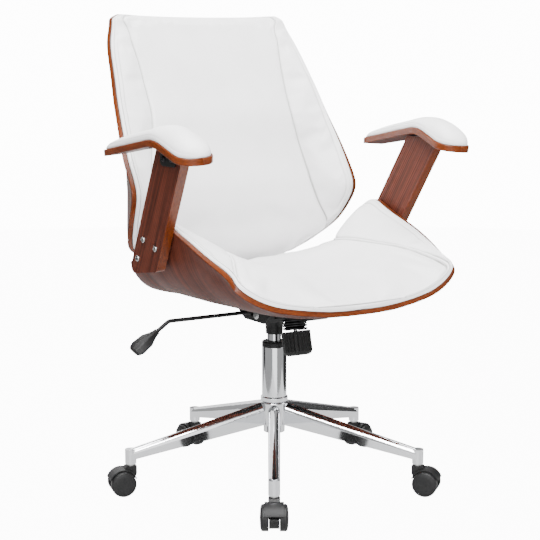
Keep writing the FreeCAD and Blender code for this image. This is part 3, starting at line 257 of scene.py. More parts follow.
def makeMetal(name, colour, rough, spread, brushed=0.0):
    # colour is even; roughness and height follow smudges, with fine scratches where it is brushed
    net = Net(name)
    where = net.coords()
    smudge = net.noise(where, 26.0, 4.0)
    scratch = net.noise(net.coords((1, 1, 24)), 380.0, 2.0)
    relief = net.bump(scratch * brushed + net.noise(where, 500.0, 2.0) * 0.1, 0.08, 0.0002)
    tint = net.blendColours(smudge.smooth(0.3, 0.8) * 0.25, colour, tuple(c * 0.82 for c in colour))
    return net.finish(Base_Color=tint, Metallic=1.0, Roughness=smudge * spread + rough, Normal=relief)


def makePlastic(name, colour, rough, grain, size, coat=0.0):
    # moulded or powder coated: fine pimples for height, a little change of roughness over the surface
    net = Net(name)
    where = net.coords()
    pimples = net.noise(where, size, 2.0)
    wear = net.noise(where, 18.0, 5.0)
    tint = net.blendColours(wear.smooth(0.45, 0.8) * 0.5, colour, tuple(c * 1.7 + 0.004 for c in colour))
    return net.finish(
        Base_Color=tint, Roughness=wear * 0.16 + rough, Normal=net.bump(pimples, grain, 0.0003),
        Coat_Weight=coat, Coat_Roughness=0.3, Specular_IOR_Level=0.3)


leather = makeLeather(leatherLook, "whiteLeather")
veneer = makeVeneer(veneerLook, "walnutVeneer")
plyEdge = makePlyEdge(plyLook, "plyEdge")
shellEdge = makePlyEdge({**plyLook, "skin": 0.010}, "shellEdge")
chrome = makeMetal("chromePlate", (0.80, 0.81, 0.83), rough=0.03, spread=0.07)
steel = makeMetal("brightSteel", (0.46, 0.46, 0.455), rough=0.14, spread=0.14, brushed=0.6)
darkSteel = makeMetal("springSteel", (0.045, 0.045, 0.048), rough=0.3, spread=0.12, brushed=0.2)
blackPaint = makePlastic(
    "blackPowderCoat", (0.004, 0.004, 0.0043), rough=0.40, grain=0.35, size=900.0, coat=0.05)
nylon = makePlastic("blackNylon", (0.006, 0.006, 0.0063), rough=0.40, grain=0.2, size=1400.0)
thread = makePlastic("whiteThread", (0.60, 0.60, 0.59), rough=0.55, grain=0.4, size=3000.0)
print("materials made")

# Meshes: grids of points computed as whole arrays, gathered in one piece

joinWithin = 2e-6  # metres: points nearer than this are one


def gridFaces(rows, cols):
    # corner numbers of the quads between rows * cols points
    a, b = np.meshgrid(np.arange(rows - 1), np.arange(cols - 1), indexing="ij")
    first = (a * cols + b).ravel()
    return np.stack([first, first + 1, first + cols + 1, first + cols], 1)


def newObject(name, mesh, materials):
    # a smooth object at the origin
    for material in materials:
        mesh.materials.append(material)
    mesh.polygons.foreach_set("use_smooth", np.ones(len(mesh.polygons), bool))
    made = bpy.data.objects.new(name, mesh)
    bpy.context.scene.collection.objects.link(made)
    return made


def carried(piece, body, replaced):
    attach(piece, body)
    if replaced:
        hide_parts(*replaced)
    return piece


class Piece:
    def __init__(self):
        self.points, self.faces, self.uvs, self.slots, self.marks, self.count = [], [], [], [], [], 0

    def grid(self, points, slot=0, uv=None, flip=False, mark=0.0):
        # points[row, column] makes a sheet of quads; uv has one pair for each point, and the mark gives each
        # point an amount of painted shade
        rows, cols = points.shape[:2]
        quads = gridFaces(rows, cols)[:, ::-1] if flip else gridFaces(rows, cols)
        uv = np.zeros((rows, cols, 2)) if uv is None else uv
        self.points.append(points.reshape(-1, 3))
        self.uvs.append(uv.reshape(-1, 2)[quads].reshape(-1, 2))
        self.faces.append(quads + self.count)
        self.slots.append(np.full(len(quads), slot))
        self.marks.append(np.broadcast_to(mark, (rows, cols)).ravel())
        self.count += rows * cols
        return self

    def build(self, name, materials, body, slot, replaced=(), sharp=None, subdivide=0):
        # the gathered grids as one mesh with its UV map and a seam attribute of painted groove shade
        points, faces = np.concatenate(self.points), np.concatenate(self.faces)
        mesh = bpy.data.meshes.new(name)
        mesh.vertices.add(len(points))
        mesh.vertices.foreach_set("co", points.ravel().astype(np.float32))
        mesh.loops.add(faces.size)
        mesh.loops.foreach_set("vertex_index", faces.ravel().astype(np.int32))
        mesh.polygons.add(len(faces))
        mesh.polygons.foreach_set("loop_start", np.arange(0, faces.size, 4, dtype=np.int32))
        mesh.polygons.foreach_set("material_index", np.concatenate(self.slots).astype(np.int32))
        mesh.update(calc_edges=True)
        layer = mesh.uv_layers.new(name="UVMap")
        layer.data.foreach_set("uv", np.concatenate(self.uvs).ravel().astype(np.float32))
        # painted shade: the marks become the seam attribute that greys the leather in its grooves
        if any(np.any(m) for m in self.marks):
            seam = mesh.attributes.new("seam", "FLOAT", "POINT")
            seam.data.foreach_set("value", np.concatenate(self.marks).astype(np.float32))
        return dress(name, mesh, materials, body, replaced, sharp, subdivide)


def dress(name, mesh, materials, body, replaced, sharp, subdivide):
    # doubles merged, faces outwards, smooth with sharp edges past an angle
    made = bmesh.new()
    made.from_mesh(mesh)
    bmesh.ops.remove_doubles(made, verts=made.verts, dist=joinWithin)
    bmesh.ops.dissolve_degenerate(made, dist=1e-7, edges=made.edges)
    bmesh.ops.recalc_face_normals(made, faces=made.faces)
    made.to_mesh(mesh)
    made.free()
    piece = newObject(name, mesh, materials)
    if sharp:
        mesh.set_sharp_from_angle(angle=math.radians(sharp))
    if subdivide:
        more = piece.modifiers.new("finer", "SUBSURF")
        more.levels = more.render_levels = subdivide
    return carried(piece, body, replaced)


def softened(node, name, materials, body, width, segments=2, split=None):
    # a copy of a CAD node with its flat faces rejoined and its edges rounded by a narrow bevel, width in mm
    made = bmesh.new()
    made.from_mesh(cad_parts[node].data)
    bmesh.ops.remove_doubles(made, verts=made.verts, dist=joinWithin)
    bmesh.ops.dissolve_limit(made, angle_limit=math.radians(0.6), verts=made.verts, edges=made.edges)
    layer = made.loops.layers.uv.new("UVMap")
    if split:
        split(made, layer)
    mesh = bpy.data.meshes.new(name)
    made.to_mesh(mesh)
    made.free()
    piece = newObject(name, mesh, materials)
    edge = piece.modifiers.new("edge", "BEVEL")
    edge.width, edge.segments, edge.limit_method = width * mm, segments, "ANGLE"
    edge.angle_limit = math.radians(30)
    even = piece.modifiers.new("even", "WEIGHTED_NORMAL")
    even.keep_sharp = True
    return carried(piece, body, [node])


def unit(vectors):
    return vectors / np.maximum(np.linalg.norm(vectors, axis=-1, keepdims=True), 1e-12)


def curve(knots, values, at):
    # natural cubic through the knots: second slopes from one tridiagonal system, then the cubic on each span
    x, y, at = np.asarray(knots, float), np.asarray(values, float), np.asarray(at, float)
    gap = np.diff(x)
    system = np.eye(len(x))
    inner = np.arange(1, len(x) - 1)
    system[inner, inner - 1] = gap[:-1]
    system[inner, inner] = 2 * (gap[:-1] + gap[1:])
    system[inner, inner + 1] = gap[1:]
    right = np.zeros_like(y)
    slope = np.diff(y, axis=0) / (gap if y.ndim == 1 else gap[:, None])
    right[1:-1] = 6 * np.diff(slope, axis=0)
    bend = np.linalg.solve(system, right)
    k = np.clip(np.searchsorted(x, at) - 1, 0, len(x) - 2)
    a, b, h = x[k + 1] - at, at - x[k], gap[k]
    if y.ndim > 1:
        a, b, h = a[:, None], b[:, None], h[:, None]
    low, high = y[k], y[k + 1]
    return ((bend[k] * a ** 3 + bend[k + 1] * b ** 3) / (6 * h) + (low / h - bend[k] * h / 6) * a
            + (high / h - bend[k + 1] * h / 6) * b)


def filleted(corners, radii, steps=6):
    # polyline with each inner corner swapped for an arc that is tangent to both sides
    p = np.asarray(corners, float)
    radii = np.broadcast_to(radii, len(p) - 2)
    before, after = unit(p[:-2] - p[1:-1]), unit(p[2:] - p[1:-1])
    half = np.arccos(np.clip((before * after).sum(1), -1, 1)) / 2
    back = radii / np.tan(half)
    middle = p[1:-1] + unit(before + after) * (radii / np.sin(half))[:, None]
    start = p[1:-1] + before * back[:, None] - middle
    stop = p[1:-1] + after * back[:, None] - middle
    share = np.linspace(0, 1, steps)[None, :, None]
    swing = (math.pi - 2 * half)[:, None, None]
    arcs = np.sin((1 - share) * swing) * start[:, None] + np.sin(share * swing) * stop[:, None]
    arcs = arcs / np.maximum(np.sin(swing), 1e-9) + middle[:, None]
    return np.concatenate([p[:1], arcs.reshape(-1, p.shape[1]), p[-1:]])


def lathe(profile, steps=72, at=(0, 0, 0), axis=(0, 0, 1), side=(1, 0, 0)):
    # profile of (radius, height) turned round an axis
    r, h = np.asarray(profile, float).T
    turn = np.linspace(0, 2 * math.pi, steps + 1)
    axis, side = np.asarray(axis, float), np.asarray(side, float)
    other = np.cross(axis, side)
    ring = np.cos(turn)[:, None] * side + np.sin(turn)[:, None] * other
    return np.asarray(at, float) + r[:, None, None] * ring[None] + h[:, None, None] * axis


def tube(path, side, radius, steps):
    # a round section carried along a path, closed at both ends; side is a direction across the path
    path, radius = np.asarray(path, float), np.broadcast_to(radius, len(path)).astype(float)
    ahead = unit(np.gradient(path, axis=0))
    side = np.broadcast_to(side, path.shape)
    first = unit(side - (side * ahead).sum(1)[:, None] * ahead)
    second = np.cross(ahead, first)
    path, first, second = (np.concatenate([v[:1], v, v[-1:]]) for v in (path, first, second))
    radius = np.concatenate([[0], radius, [0]])
    turn = np.linspace(0, 2 * math.pi, steps + 1)
    ring = np.cos(turn)[None, :, None] * first[:, None] + np.sin(turn)[None, :, None] * second[:, None]
    return path[:, None] + radius[:, None, None] * ring


def rimLoop(grid):
    # the border of a grid as one closed loop, with the point one step inside for each
    rows, cols = grid.shape[:2]
    r = np.concatenate([np.zeros(cols - 1, int), np.arange(rows - 1), np.full(cols - 1, rows - 1),
                        np.arange(rows - 1, 0, -1)])
    c = np.concatenate([np.arange(cols - 1), np.full(rows - 1, cols - 1), np.arange(cols - 1, 0, -1),
                        np.zeros(rows - 1, int)])
    r, c = np.append(r, r[0]), np.append(c, c[0])
    inner = grid[np.clip(r, 1, rows - 2), np.clip(c, 1, cols - 2)]
    return grid[r, c], inner


def slab(piece, lower, upper, rim, uv, slots=(0, 0, 1), mark=0.0, rimShade=0.0):
    # two matching grids closed by a band: rim lists (share of the way from lower to upper, bulge outwards);
    # the two marks are painted shade on the upper face and on each row of the band
    piece.grid(lower, slots[0], uv, flip=True)
    piece.grid(upper, slots[1], uv, mark=mark)
    low, lowInside = rimLoop(lower)
    high, highInside = rimLoop(upper)
    out = unit(unit(low - lowInside) + unit(high - highInside))
    across = unit(high - low)
    out = unit(out - (out * across).sum(1)[:, None] * across)
    share, bulge = np.asarray(rim, float).T
    band = low[None] + share[:, None, None] * (high - low)[None] + bulge[:, None, None] * out[None]
    length = np.concatenate([[0], np.cumsum(np.linalg.norm(np.diff(low, axis=0), axis=1))])
    depth = share[:, None] * np.linalg.norm(high - low, axis=1)[None]
    bandUv = np.stack([np.broadcast_to(length, depth.shape), depth], -1)
    piece.grid(band, slots[2], bandUv, mark=np.broadcast_to(rimShade, len(rim))[:, None])
    return piece


def roundRim(thick, radius, steps=4):
    # shares and bulges of an edge with two rounded corners
    turn = np.linspace(0, math.pi / 2, steps + 1)
    first = np.stack([radius * (1 - np.cos(turn)), radius * np.sin(turn)], 1)
    last = np.stack([thick - first[::-1, 0], first[::-1, 1]], 1)
    middle = np.stack([np.linspace(radius, thick - radius, 5)[1:-1], np.full(3, radius)], 1)
    rows = np.concatenate([first, middle, last])
    rows[:, 0] /= thick
    return rows


# Seat and back: sections across the shell, level in the middle, rising along a shallow dish, then turning
# up through an arc into a wing. Fold, radius, edge and dish are shares of the half width; the seat's wing is
# a share of its rise, the back's is in millimetres, as are the crowns. Each column is one station.

seatForm = {
    "y": (-296, -287, -273.5, -251, -190.25, -107, -26, 14.5, 39.25, 77.5, 122.5),
    "z": (14, 12.5, 10.5, 8, 5, 2, 0, 0, 0, 0, 0), "pan": 385, "heelRadius": 56,
    "heelAngles": (25, 48, 70, 90), "lipY": 220.3, "lipTop": 464, "half": 254, "rise": 175, "ply": 10.0,
    "round": 1.6, "sag": 0.0,
    "fold": (0.27, 0.37, 0.49, 0.6, 0.77, 0.867, 0.925, 0.945, 0.949, 0.937, 0.874, 0.79, 0.71, 0.62,
        0.53, 0.5, 0.46, 0.41),
    "radius": (1.14, 1.1, 1.04, 0.92, 0.67, 0.54, 0.47, 0.47, 0.46, 0.45, 0.38, 0.31, 0.25, 0.17, 0.12,
        0.12, 0.12, 0.12),
    "edge": (0.47, 0.69, 0.901, 0.956, 0.973, 0.997, 1.0, 1.0, 0.998, 0.984, 0.937, 0.84, 0.75, 0.665,
        0.58, 0.56, 0.525, 0.463),
    "wing": (0.052, 0.12, 0.276, 0.414, 0.58, 0.77, 0.94, 1.0, 0.925, 0.7, 0.46, 0.29, 0.15, 0.045,
        0.012, 0.01, 0.01, 0.01),
    "dish": (0.008, 0.008, 0.01, 0.018, 0.04, 0.082, 0.106, 0.11, 0.11, 0.106, 0.073, 0.044, 0.024,
        0.008, 0.004, 0.003, 0.003, 0.003)}
seatCrown = {
    "middle": (13, 18, 29, 41, 55.5, 62, 60.5, 57, 54, 49, 46, 42, 30),
    "seamX": (101, 154, 211, 228, 202, 164, 151, 158, 171, 196, 222, 196, 172),
    "seamUp": (16, 28, 49.5, 67, 91, 103, 103, 96.5, 93, 86, 74, 47, 31),
    "border": (8, 9, 10, 10, 10, 10, 10, 10, 10, 10, 10, 9, 8), "gap": 0.5, "welt": True}
backForm = {
    "share": (0, 0.01, 0.025, 0.074, 0.119, 0.165, 0.204, 0.243, 0.282, 0.321, 0.36, 0.438, 0.516, 0.593,
        0.671, 0.749, 0.827, 0.905, 0.969, 0.99, 1),
    "shift": (-2.4, -1.1, -0.1, 0, -2, -4, -5, -5, -4, -3, -1, 4, 13, 25, 40, 56, 73, 90, 96.5, 98.5, 99.5),
    "fold": (0.31, 0.407, 0.535, 0.736, 0.82, 0.853, 0.86, 0.862, 0.862, 0.86, 0.853, 0.814, 0.767,
        0.717, 0.678, 0.651, 0.64, 0.64, 0.601, 0.581, 0.55),
    "radius": (0.147, 0.163, 0.225, 0.31, 0.31, 0.31, 0.31, 0.31, 0.31, 0.31, 0.31, 0.31, 0.388, 0.465,
        0.504, 0.543, 0.581, 0.581, 0.698, 0.748, 0.748),
    "edge": (0.407, 0.512, 0.612, 0.822, 0.905, 0.95, 0.973, 0.988, 0.998, 1, 0.998, 0.996, 0.981, 0.961,
        0.942, 0.915, 0.888, 0.849, 0.804, 0.775, 0.729),
    "wing": (6, 9, 15, 26, 45, 68, 83, 97, 109, 113, 107, 86, 70, 57, 48, 40, 31, 23, 13, 11, 10),
    "sag": 6.0, "sagReach": 150.0, "half": 258, "low": 425, "rise": 517, "foot": 209.5, "ply": 10.0,
    "round": 1.6, "dish": 0.03, "dishShare": 0.2}
backCrown = {
    "middle": (19, 26, 34, 50, 56, 53.5, 54, 54, 52, 49, 44, 36, 34.5, 36, 33.5, 31, 31, 30, 21.5, 18.5,
        15.5),
    "seamX": (82, 112, 140, 188, 222, 224, 214, 205, 199, 193, 189, 181, 174, 168, 167, 169, 172, 177,
        182, 184, 178),
    "seamUp": (16, 23, 31, 47, 62, 64.5, 61, 57, 53.5, 50.5, 47.5, 40, 38, 40, 37, 34.5, 34, 33.5, 24.5,
        21.5, 18.5),
    "border": (8, 8, 9, 10, 10, 10, 10, 10, 10, 10, 10, 10, 10, 10, 10, 10, 10, 10, 10, 9, 8), "gap": 0.5,
    "welt": False}


def seatRails(form):
    # the middle line of the seat: along y, round the heel, up the lip; with each station's distance on it
    heel, pan = form["heelRadius"], form["pan"]
    axisY, axisZ = form["lipY"] - heel, pan + heel
    knots = np.array(form["y"], float)
    angles = np.radians(form["heelAngles"])
    lip = axisY + heel * math.pi / 2 + (form["lipTop"] - axisZ) * np.array([0.33, 0.67, 1])
    return np.concatenate([knots, axisY + heel * angles, lip]), axisY, axisZ


def seatRows(form, distance):
    # foot point and lift direction at each distance along the rail
    stations, axisY, axisZ = seatRails(form)
    heel = form["heelRadius"]
    level = curve(np.append(form["y"], axisY), np.append(form["z"], 0.0), np.minimum(distance, axisY))
    height = level + form["pan"]
    angle = np.clip((distance - axisY) / heel, 0, math.pi / 2)
    beyond = np.maximum(distance - axisY - heel * math.pi / 2, 0)
    y = np.where(distance < axisY, distance, axisY + heel * np.sin(angle))
    z = np.where(distance < axisY, height, axisZ - heel * np.cos(angle) + beyond)
    foot = np.stack([np.zeros_like(y), y, z], 1)
    up = np.stack([np.zeros_like(y), -np.sin(angle), np.cos(angle)], 1)
    rows = {k: curve(stations, np.array(form[k]) * form["half"], distance)
            for k in ("fold", "radius", "edge", "dish")}
    rows["wing"] = curve(stations, np.array(form["wing"]) * form["rise"], distance)
    return foot, up, rows


def backRows(form, z):
    # the same for the back, whose rail is a curve over the height and whose lift points forwards
    share = (z - form["low"]) / form["rise"]
    y = form["foot"] + curve(form["share"], form["shift"], share)
    foot = np.stack([np.zeros_like(z), y, z], 1)
    up = np.tile(np.array([0.0, -1.0, 0.0]), (len(z), 1))
    rows = {k: curve(form["share"], np.array(form[k]) * form["half"], share)
            for k in ("fold", "radius", "edge")}
    rows["wing"] = curve(form["share"], form["wing"], share)
    rows["dish"] = np.minimum(form["dish"] * form["half"], form["dishShare"] * rows["wing"])
    return foot, up, rows


sectionMake = {
    # level run and its rounding, as shares of the fold and of that run; the most that the dish, the fold arc
    # along the dished run and the fold arc along the wing may take up
    "level": 0.42, "lap": 0.4, "dish": 0.72, "run": 0.97, "rest": 0.94}


def sectionXh(rows, s, offset):
    # half section by arc length share s: level run, shallow arc, dished run, fold arc, straight wing;
    # each span takes its part of the length, and the two turns so far give the outward direction
    fold, radius, edge, wing = (rows[k][:, None] for k in ("fold", "radius", "edge", "wing"))
    most = sectionMake
    dish = np.minimum(rows["dish"][:, None], most["dish"] * wing)
    level = fold * most["level"]
    lap = level * most["lap"]
    slope, turn = np.arctan2(dish, fold - level), np.arctan2(wing - dish, edge - fold)
    half = (turn - slope) / 2
    run, rest = np.hypot(fold - level, dish), np.hypot(edge - fold, wing - dish)
    back = np.minimum(np.minimum(radius * np.tan(half), run * most["run"] - lap), rest * most["rest"])
    first, second = lap / np.tan(slope / 2), back / np.tan(half)
    spans = [level - lap, first * slope, run - lap - back, second * (turn - slope), rest - back]
    width = sum(spans)
    left = np.abs(s)[None] * width
    parts = []
    for span in spans:
        parts.append(np.clip(left, 0, span))
        left = left - span
    a, b = parts[1] / first, slope + parts[3] / second
    angle = a + b - slope
    x = (parts[0] + first * np.sin(a) + parts[2] * np.cos(slope) + second * (np.sin(b) - np.sin(slope))
         + parts[4] * np.cos(turn) + offset * np.sin(angle))
    h = (first * (1 - np.cos(a)) + parts[2] * np.sin(slope) + second * (np.cos(slope) - np.cos(b))
         + parts[4] * np.sin(turn) - offset * np.cos(angle))
    return x * np.sign(s)[None], h, width, turn


def lift(foot, up, x, h):
    # x across and h along the lift direction, from each row's foot
    points = foot[:, None] + h[..., None] * up[:, None]
    points[..., 0] += x
    return points * mm


def topSag(form, samples, s):
    # a slow dip of the upper edge, fading with the square of the way down and of the way to the corners
    if not form["sag"]:
        return np.zeros(3)
    fade = np.clip((samples - form["low"] - form["rise"]) / form["sagReach"] + 1, 0, 1) ** 2
    return (form["sag"] * mm * fade[:, None] * (1 - s[None] ** 2))[..., None] * np.array([0, 0, -1.0])


def spread(stops, steps):
    # samples between stops, a chosen number in each stretch
    parts = [np.linspace(a, b, n, endpoint=False) for a, b, n in zip(stops[:-1], stops[1:], steps)]
    return np.append(np.concatenate(parts), stops[-1])


def mirrored(half):
    return np.concatenate([-half[:0:-1], half])


def makeShell(name, form, rowsOf, samples, node):
    # inner and outer faces a ply apart, and a rounded rim; the grain runs across the shell
    foot, up, rows = rowsOf(form, samples)
    s = mirrored(spread((0, 0.9, 1), (44, 10)))
    x, h, width, _ = sectionXh(rows, s, 0)
    inner = lift(foot, up, x, h)
    xo, ho, _, _ = sectionXh(rows, s, form["ply"])
    outer = lift(foot, up, xo, ho)
    dip = topSag(form, samples, s)
    uv = np.stack([np.broadcast_to(samples[:, None], x.shape), s[None] * width], -1) * mm
    piece = slab(Piece(), inner + dip, outer + dip, roundRim(form["ply"] * mm, form["round"] * mm), uv)
    piece.build(name, [veneer, shellEdge], "upper", "walnut_ply", [node])


# rows of points in millimetres along each shell, closer near both ends
seatSamples = spread((-296, -284, -250, 164, 252.3, 275.2), (12, 14, 56, 22, 8))
backSamples = spread((425, 440, 600, 900, 928, 942), (12, 34, 42, 8, 10))
makeShell("seatShell", seatForm, seatRows, seatSamples, "seat_shell")
makeShell("backShell", backForm, backRows, backSamples, "back_shell")
print("ply shells made")

cushionMake = {
    # line is the width and mark the strength of the painted shade along each seam groove
    "seamShare": 0.60, "groove": 2.4, "grooveWidth": 1.8, "line": 1.3, "mark": 0.85, "puff": 2.4,
    "puffWidth": 26.0, "puffPower": 1.3, "bulge": 3.0, "bulgeFrom": 60.0, "inset": 2,
    # the second groove beside a seam and the proud strip between, then the groove near the border and the
    # strength of its painted shade
    "welt": 8.0, "proud": 0.45, "proudWidth": 2.6,
    "edge": 6.5, "edgeWidth": 1.6, "edgeDip": 0.6, "edgeShade": 0.8, "edgeFrom": 40.0}
cushionRim = np.array([
    # share of the way up the border, bulge outwards, seam mark of painted shade at the foot and in the welt
    # groove
    (0, -0.6, 0.5), (0.03, 0.6, 0.1), (0.10, 1.5, 0), (0.24, 2.2, 0), (0.42, 2.4, 0), (0.58, 2.1, 0),
    (0.68, 1.3, 0), (0.73, 0.2, 0.2), (0.76, -1.0, 0.8), (0.78, -1.5, 1), (0.80, -1.5, 1), (0.82, -0.9, 0.7),
    (0.85, 0.1, 0.2), (0.90, 0.8, 0), (0.96, 0.8, 0), (1, 0, 0)])
clothMake = {
    "quality": 6, "mass": 0.4, "stretch": 18.0, "bending": 1.2, "shrink": -0.012, "pressure": 3.0,
    "frames": 20}


def cushionTop(foot, up, rows, crown, s, make):
    # upper face: parabola between the seams, a slightly bulged wing outside them, a bell-shaped groove at
    # each seam and near the border; a welt adds a second groove and the strip between them stands proud;
    # the mark returned with it is painted shade along these grooves
    middle, seamX, seamUp, border = (crown[k][:, None] for k in ("middle", "seamX", "seamUp", "border"))
    tipX, tipH, _, turn = sectionXh(rows, np.array([1.0]), -crown["gap"])
    topX = tipX - np.sin(turn) * border - np.cos(turn) * make["inset"]
    topH = tipH + np.cos(turn) * border - np.sin(turn) * make["inset"]
    side, share = np.sign(s)[None], np.abs(s)[None]
    cut = make["seamShare"]
    inner = share <= cut
    across = np.clip(share / cut, 0, 1)
    x = seamX * across
    h = middle + (seamUp - middle) * across ** 2
    slope = 2 * (seamUp - middle) * across / seamX
    outside = np.clip((share - cut) / (1 - cut), 0, 1)
    wingX, wingH = topX - seamX, topH - seamUp
    length = np.hypot(wingX, wingH)
    bulge = make["bulge"] * 4 * outside * (1 - outside) * np.clip(length / make["bulgeFrom"], 0, 1)
    xo = seamX + wingX * outside - bulge * wingH / length
    ho = seamUp + wingH * outside + bulge * wingX / length
    x, h = np.where(inner, x, xo), np.where(inner, h, ho)
    away = np.where(inner, (1 - across) * seamX, outside * length)

    def bell(centre, wide):
        return np.exp(-((away - centre) / wide) ** 2)

    border = np.exp(-((length * (1 - outside) - make["edge"]) / make["edgeWidth"]) ** 2)
    edge = ~inner * border * np.clip(length / make["edgeFrom"] - 0.5, 0, 1)
    dip = bell(0, make["grooveWidth"]) + make["edgeDip"] * edge
    # painted shade along the seam grooves and the border groove, returned as the mark
    line = bell(0, make["line"]) + make["edgeShade"] * edge
    if crown["welt"]:
        beside = bell(make["welt"], make["grooveWidth"])
        dip = dip + ~inner * (beside - make["proud"] * bell(make["welt"] / 2, make["proudWidth"]))
        line = line + ~inner * bell(make["welt"], make["line"])
    swell = make["puff"] * (1 - np.exp(-(away / make["puffWidth"]) ** make["puffPower"])) - make["puff"]
    normX = np.where(inner, -slope / np.hypot(slope, 1), -wingH / length)
    normH = np.where(inner, 1 / np.hypot(slope, 1), wingX / length)
    push = swell * 0.5 - make["groove"] * dip
    return lift(foot, up, (x + normX * push) * side, h + normH * push), make["mark"] * line


def settled(top, pinned, make, cap, name):
    # soft sheet: the face is run as cloth with its border and seams held, and each move is kept under a cap
    rows, cols = top.shape[:2]
    mesh = bpy.data.meshes.new(name)
    mesh.from_pydata(top.reshape(-1, 3).tolist(), [], gridFaces(rows, cols).tolist())
    sheet = bpy.data.objects.new(name, mesh)
    bpy.context.scene.collection.objects.link(sheet)
    group = sheet.vertex_groups.new(name="held")
    group.add(np.flatnonzero(pinned.ravel()).tolist(), 1.0, "REPLACE")
    cloth = sheet.modifiers.new("cloth", "CLOTH")
    leatherCloth = cloth.settings
    leatherCloth.quality, leatherCloth.mass = make["quality"], make["mass"]
    leatherCloth.tension_stiffness = leatherCloth.compression_stiffness = make["stretch"]
    leatherCloth.bending_stiffness = make["bending"]
    leatherCloth.use_pressure, leatherCloth.uniform_pressure_force = True, make["pressure"]
    leatherCloth.shrink_min = make["shrink"]
    leatherCloth.vertex_group_mass = "held"
    leatherCloth.effector_weights.gravity = 0
    cloth.collision_settings.use_collision = False
    cloth.point_cache.frame_start, cloth.point_cache.frame_end = 1, make["frames"]
    for step in range(1, make["frames"] + 1):
        bpy.context.scene.frame_set(step)
    done = sheet.evaluated_get(bpy.context.evaluated_depsgraph_get())
    moved = np.zeros(rows * cols * 3, np.float32)
    done.data.vertices.foreach_get("co", moved)
    bpy.context.scene.frame_set(1)
    bpy.data.objects.remove(sheet)
    shift = moved.reshape(rows, cols, 3) - top
    size = np.linalg.norm(shift, axis=-1, keepdims=True)
    return shift * np.minimum(1, cap / np.maximum(size, 1e-9))


def resample(field, rows, cols):
    # bilinear values of a coarse field at fractional rows and columns
    r0 = np.clip(rows.astype(int), 0, field.shape[0] - 2)
    c0 = np.clip(cols.astype(int), 0, field.shape[1] - 2)
    fr, fc = (rows - r0)[:, None, None], (cols - c0)[None, :, None]
    a, b = field[r0][:, c0], field[r0][:, c0 + 1]
    c, d = field[r0 + 1][:, c0], field[r0 + 1][:, c0 + 1]
    return (a * (1 - fc) + b * fc) * (1 - fr) + (c * (1 - fc) + d * fc) * fr


def makeCushion(name, form, crown, rowsOf, knots, samples, node, *, cap):
    # lower face on the ply, upper face crowned and settled on a coarse copy, a welted band round the edge
    def crownAt(d):
        return {k: curve(knots, v, d) if isinstance(v, tuple) else v for k, v in crown.items()}

    cut = cushionMake["seamShare"]
    s = mirrored(spread((0, cut - 0.05, cut + 0.05, 0.93, 1), (34, 28, 18, 6)))
    foot, up, rows = rowsOf(form, samples)
    x, h, width, _ = sectionXh(rows, s, -crown["gap"])
    lower = lift(foot, up, x, h)
    upper, mark = cushionTop(foot, up, rows, crownAt(samples), s, cushionMake)
    coarseD = np.linspace(samples[0], samples[-1], 64)
    coarseS = mirrored(spread((0, cut, 1), (24, 14)))
    coarse, _ = cushionTop(*rowsOf(form, coarseD), crownAt(coarseD), coarseS, {**cushionMake, "groove": 0.0})
    held = np.zeros(coarse.shape[:2], bool)
    held[[0, -1]] = True
    held[:, [0, -1]] = True
    held[:, np.abs(np.abs(coarseS) - cut) < 1e-6] = True
    shift = settled(coarse, held, clothMake, cap * mm, name + "Sheet")
    row = (samples - samples[0]) / (samples[-1] - samples[0]) * (len(coarseD) - 1)
    column = np.interp(s, coarseS, np.arange(len(coarseS)))
    dip = topSag(form, samples, s)
    lower, upper = lower + dip, upper + dip + resample(shift, row, column)
    uv = np.stack([np.broadcast_to(samples[:, None], x.shape), s[None] * width], -1) * mm
    # painted shade: the upper face's mark and the rim's third column grey the grooves and the foot
    rim, rimShade = cushionRim[:, :2] * (1, mm), cushionRim[:, 2]
    piece = slab(Piece(), lower, upper, rim, uv, (0, 0, 0), mark, rimShade)
    piece.build(name, [leather], "upper", "white_leather", [node], subdivide=1)
    return upper, s


seatStations = seatRails(seatForm)[0][:13]
seatPadSamples = spread((-296, -286, -250, 164, float(seatStations[-1])), (12, 12, 70, 12))
seatTop, seatShares = makeCushion(
    "seatCushion", seatForm, seatCrown, seatRows, seatStations, seatPadSamples, "seat_cushion",
    cap=4.0)
backStations = np.array(backForm["share"]) * backForm["rise"] + backForm["low"]
backPadSamples = spread((425, 435, 600, 900, 932, 942), (10, 40, 46, 8, 10))
backTop, backShares = makeCushion(
    "backCushion", backForm, backCrown, backRows, backStations, backPadSamples, "back_cushion",
    cap=3.0)
print("cushions made")

stitchMake = {"pitch": 4.2, "length": 2.9, "radius": 0.32, "beside": 3.4, "lift": 0.25}


def stitchLine(piece, line, outward, make):
    # short raised threads at an even pitch along a line on the leather
    step = np.linalg.norm(np.diff(line, axis=0), axis=1)
    length = np.concatenate([[0], np.cumsum(step)])
    count = int(length[-1] / (make["pitch"] * mm))
    centres = (np.arange(count) + 0.5) * make["pitch"] * mm

    def at(distance, field):
        return np.stack([np.interp(distance, length, field[:, k]) for k in range(3)], 1)

    place = at(centres, line)
    ahead, out = unit(at(centres + 1e-4, line) - place), unit(at(centres, outward))
    aside = np.cross(ahead, out)
    share = np.array([-1, -0.92, -0.5, 0, 0.5, 0.92, 1])[:, None, None, None]
    thick = np.array([0, 0.6, 1, 1, 1, 0.6, 0])[:, None, None, None] * make["radius"]
    turn = np.linspace(0, 2 * math.pi, 7)[None, :, None, None]
    rings = share * make["length"] / 2 * ahead + thick * (np.cos(turn) * out + np.sin(turn) * aside)
    rings = (rings + out * make["lift"] * (1 - share ** 2)) * mm + place
    for k in range(count):
        piece.grid(rings[:, :, k])


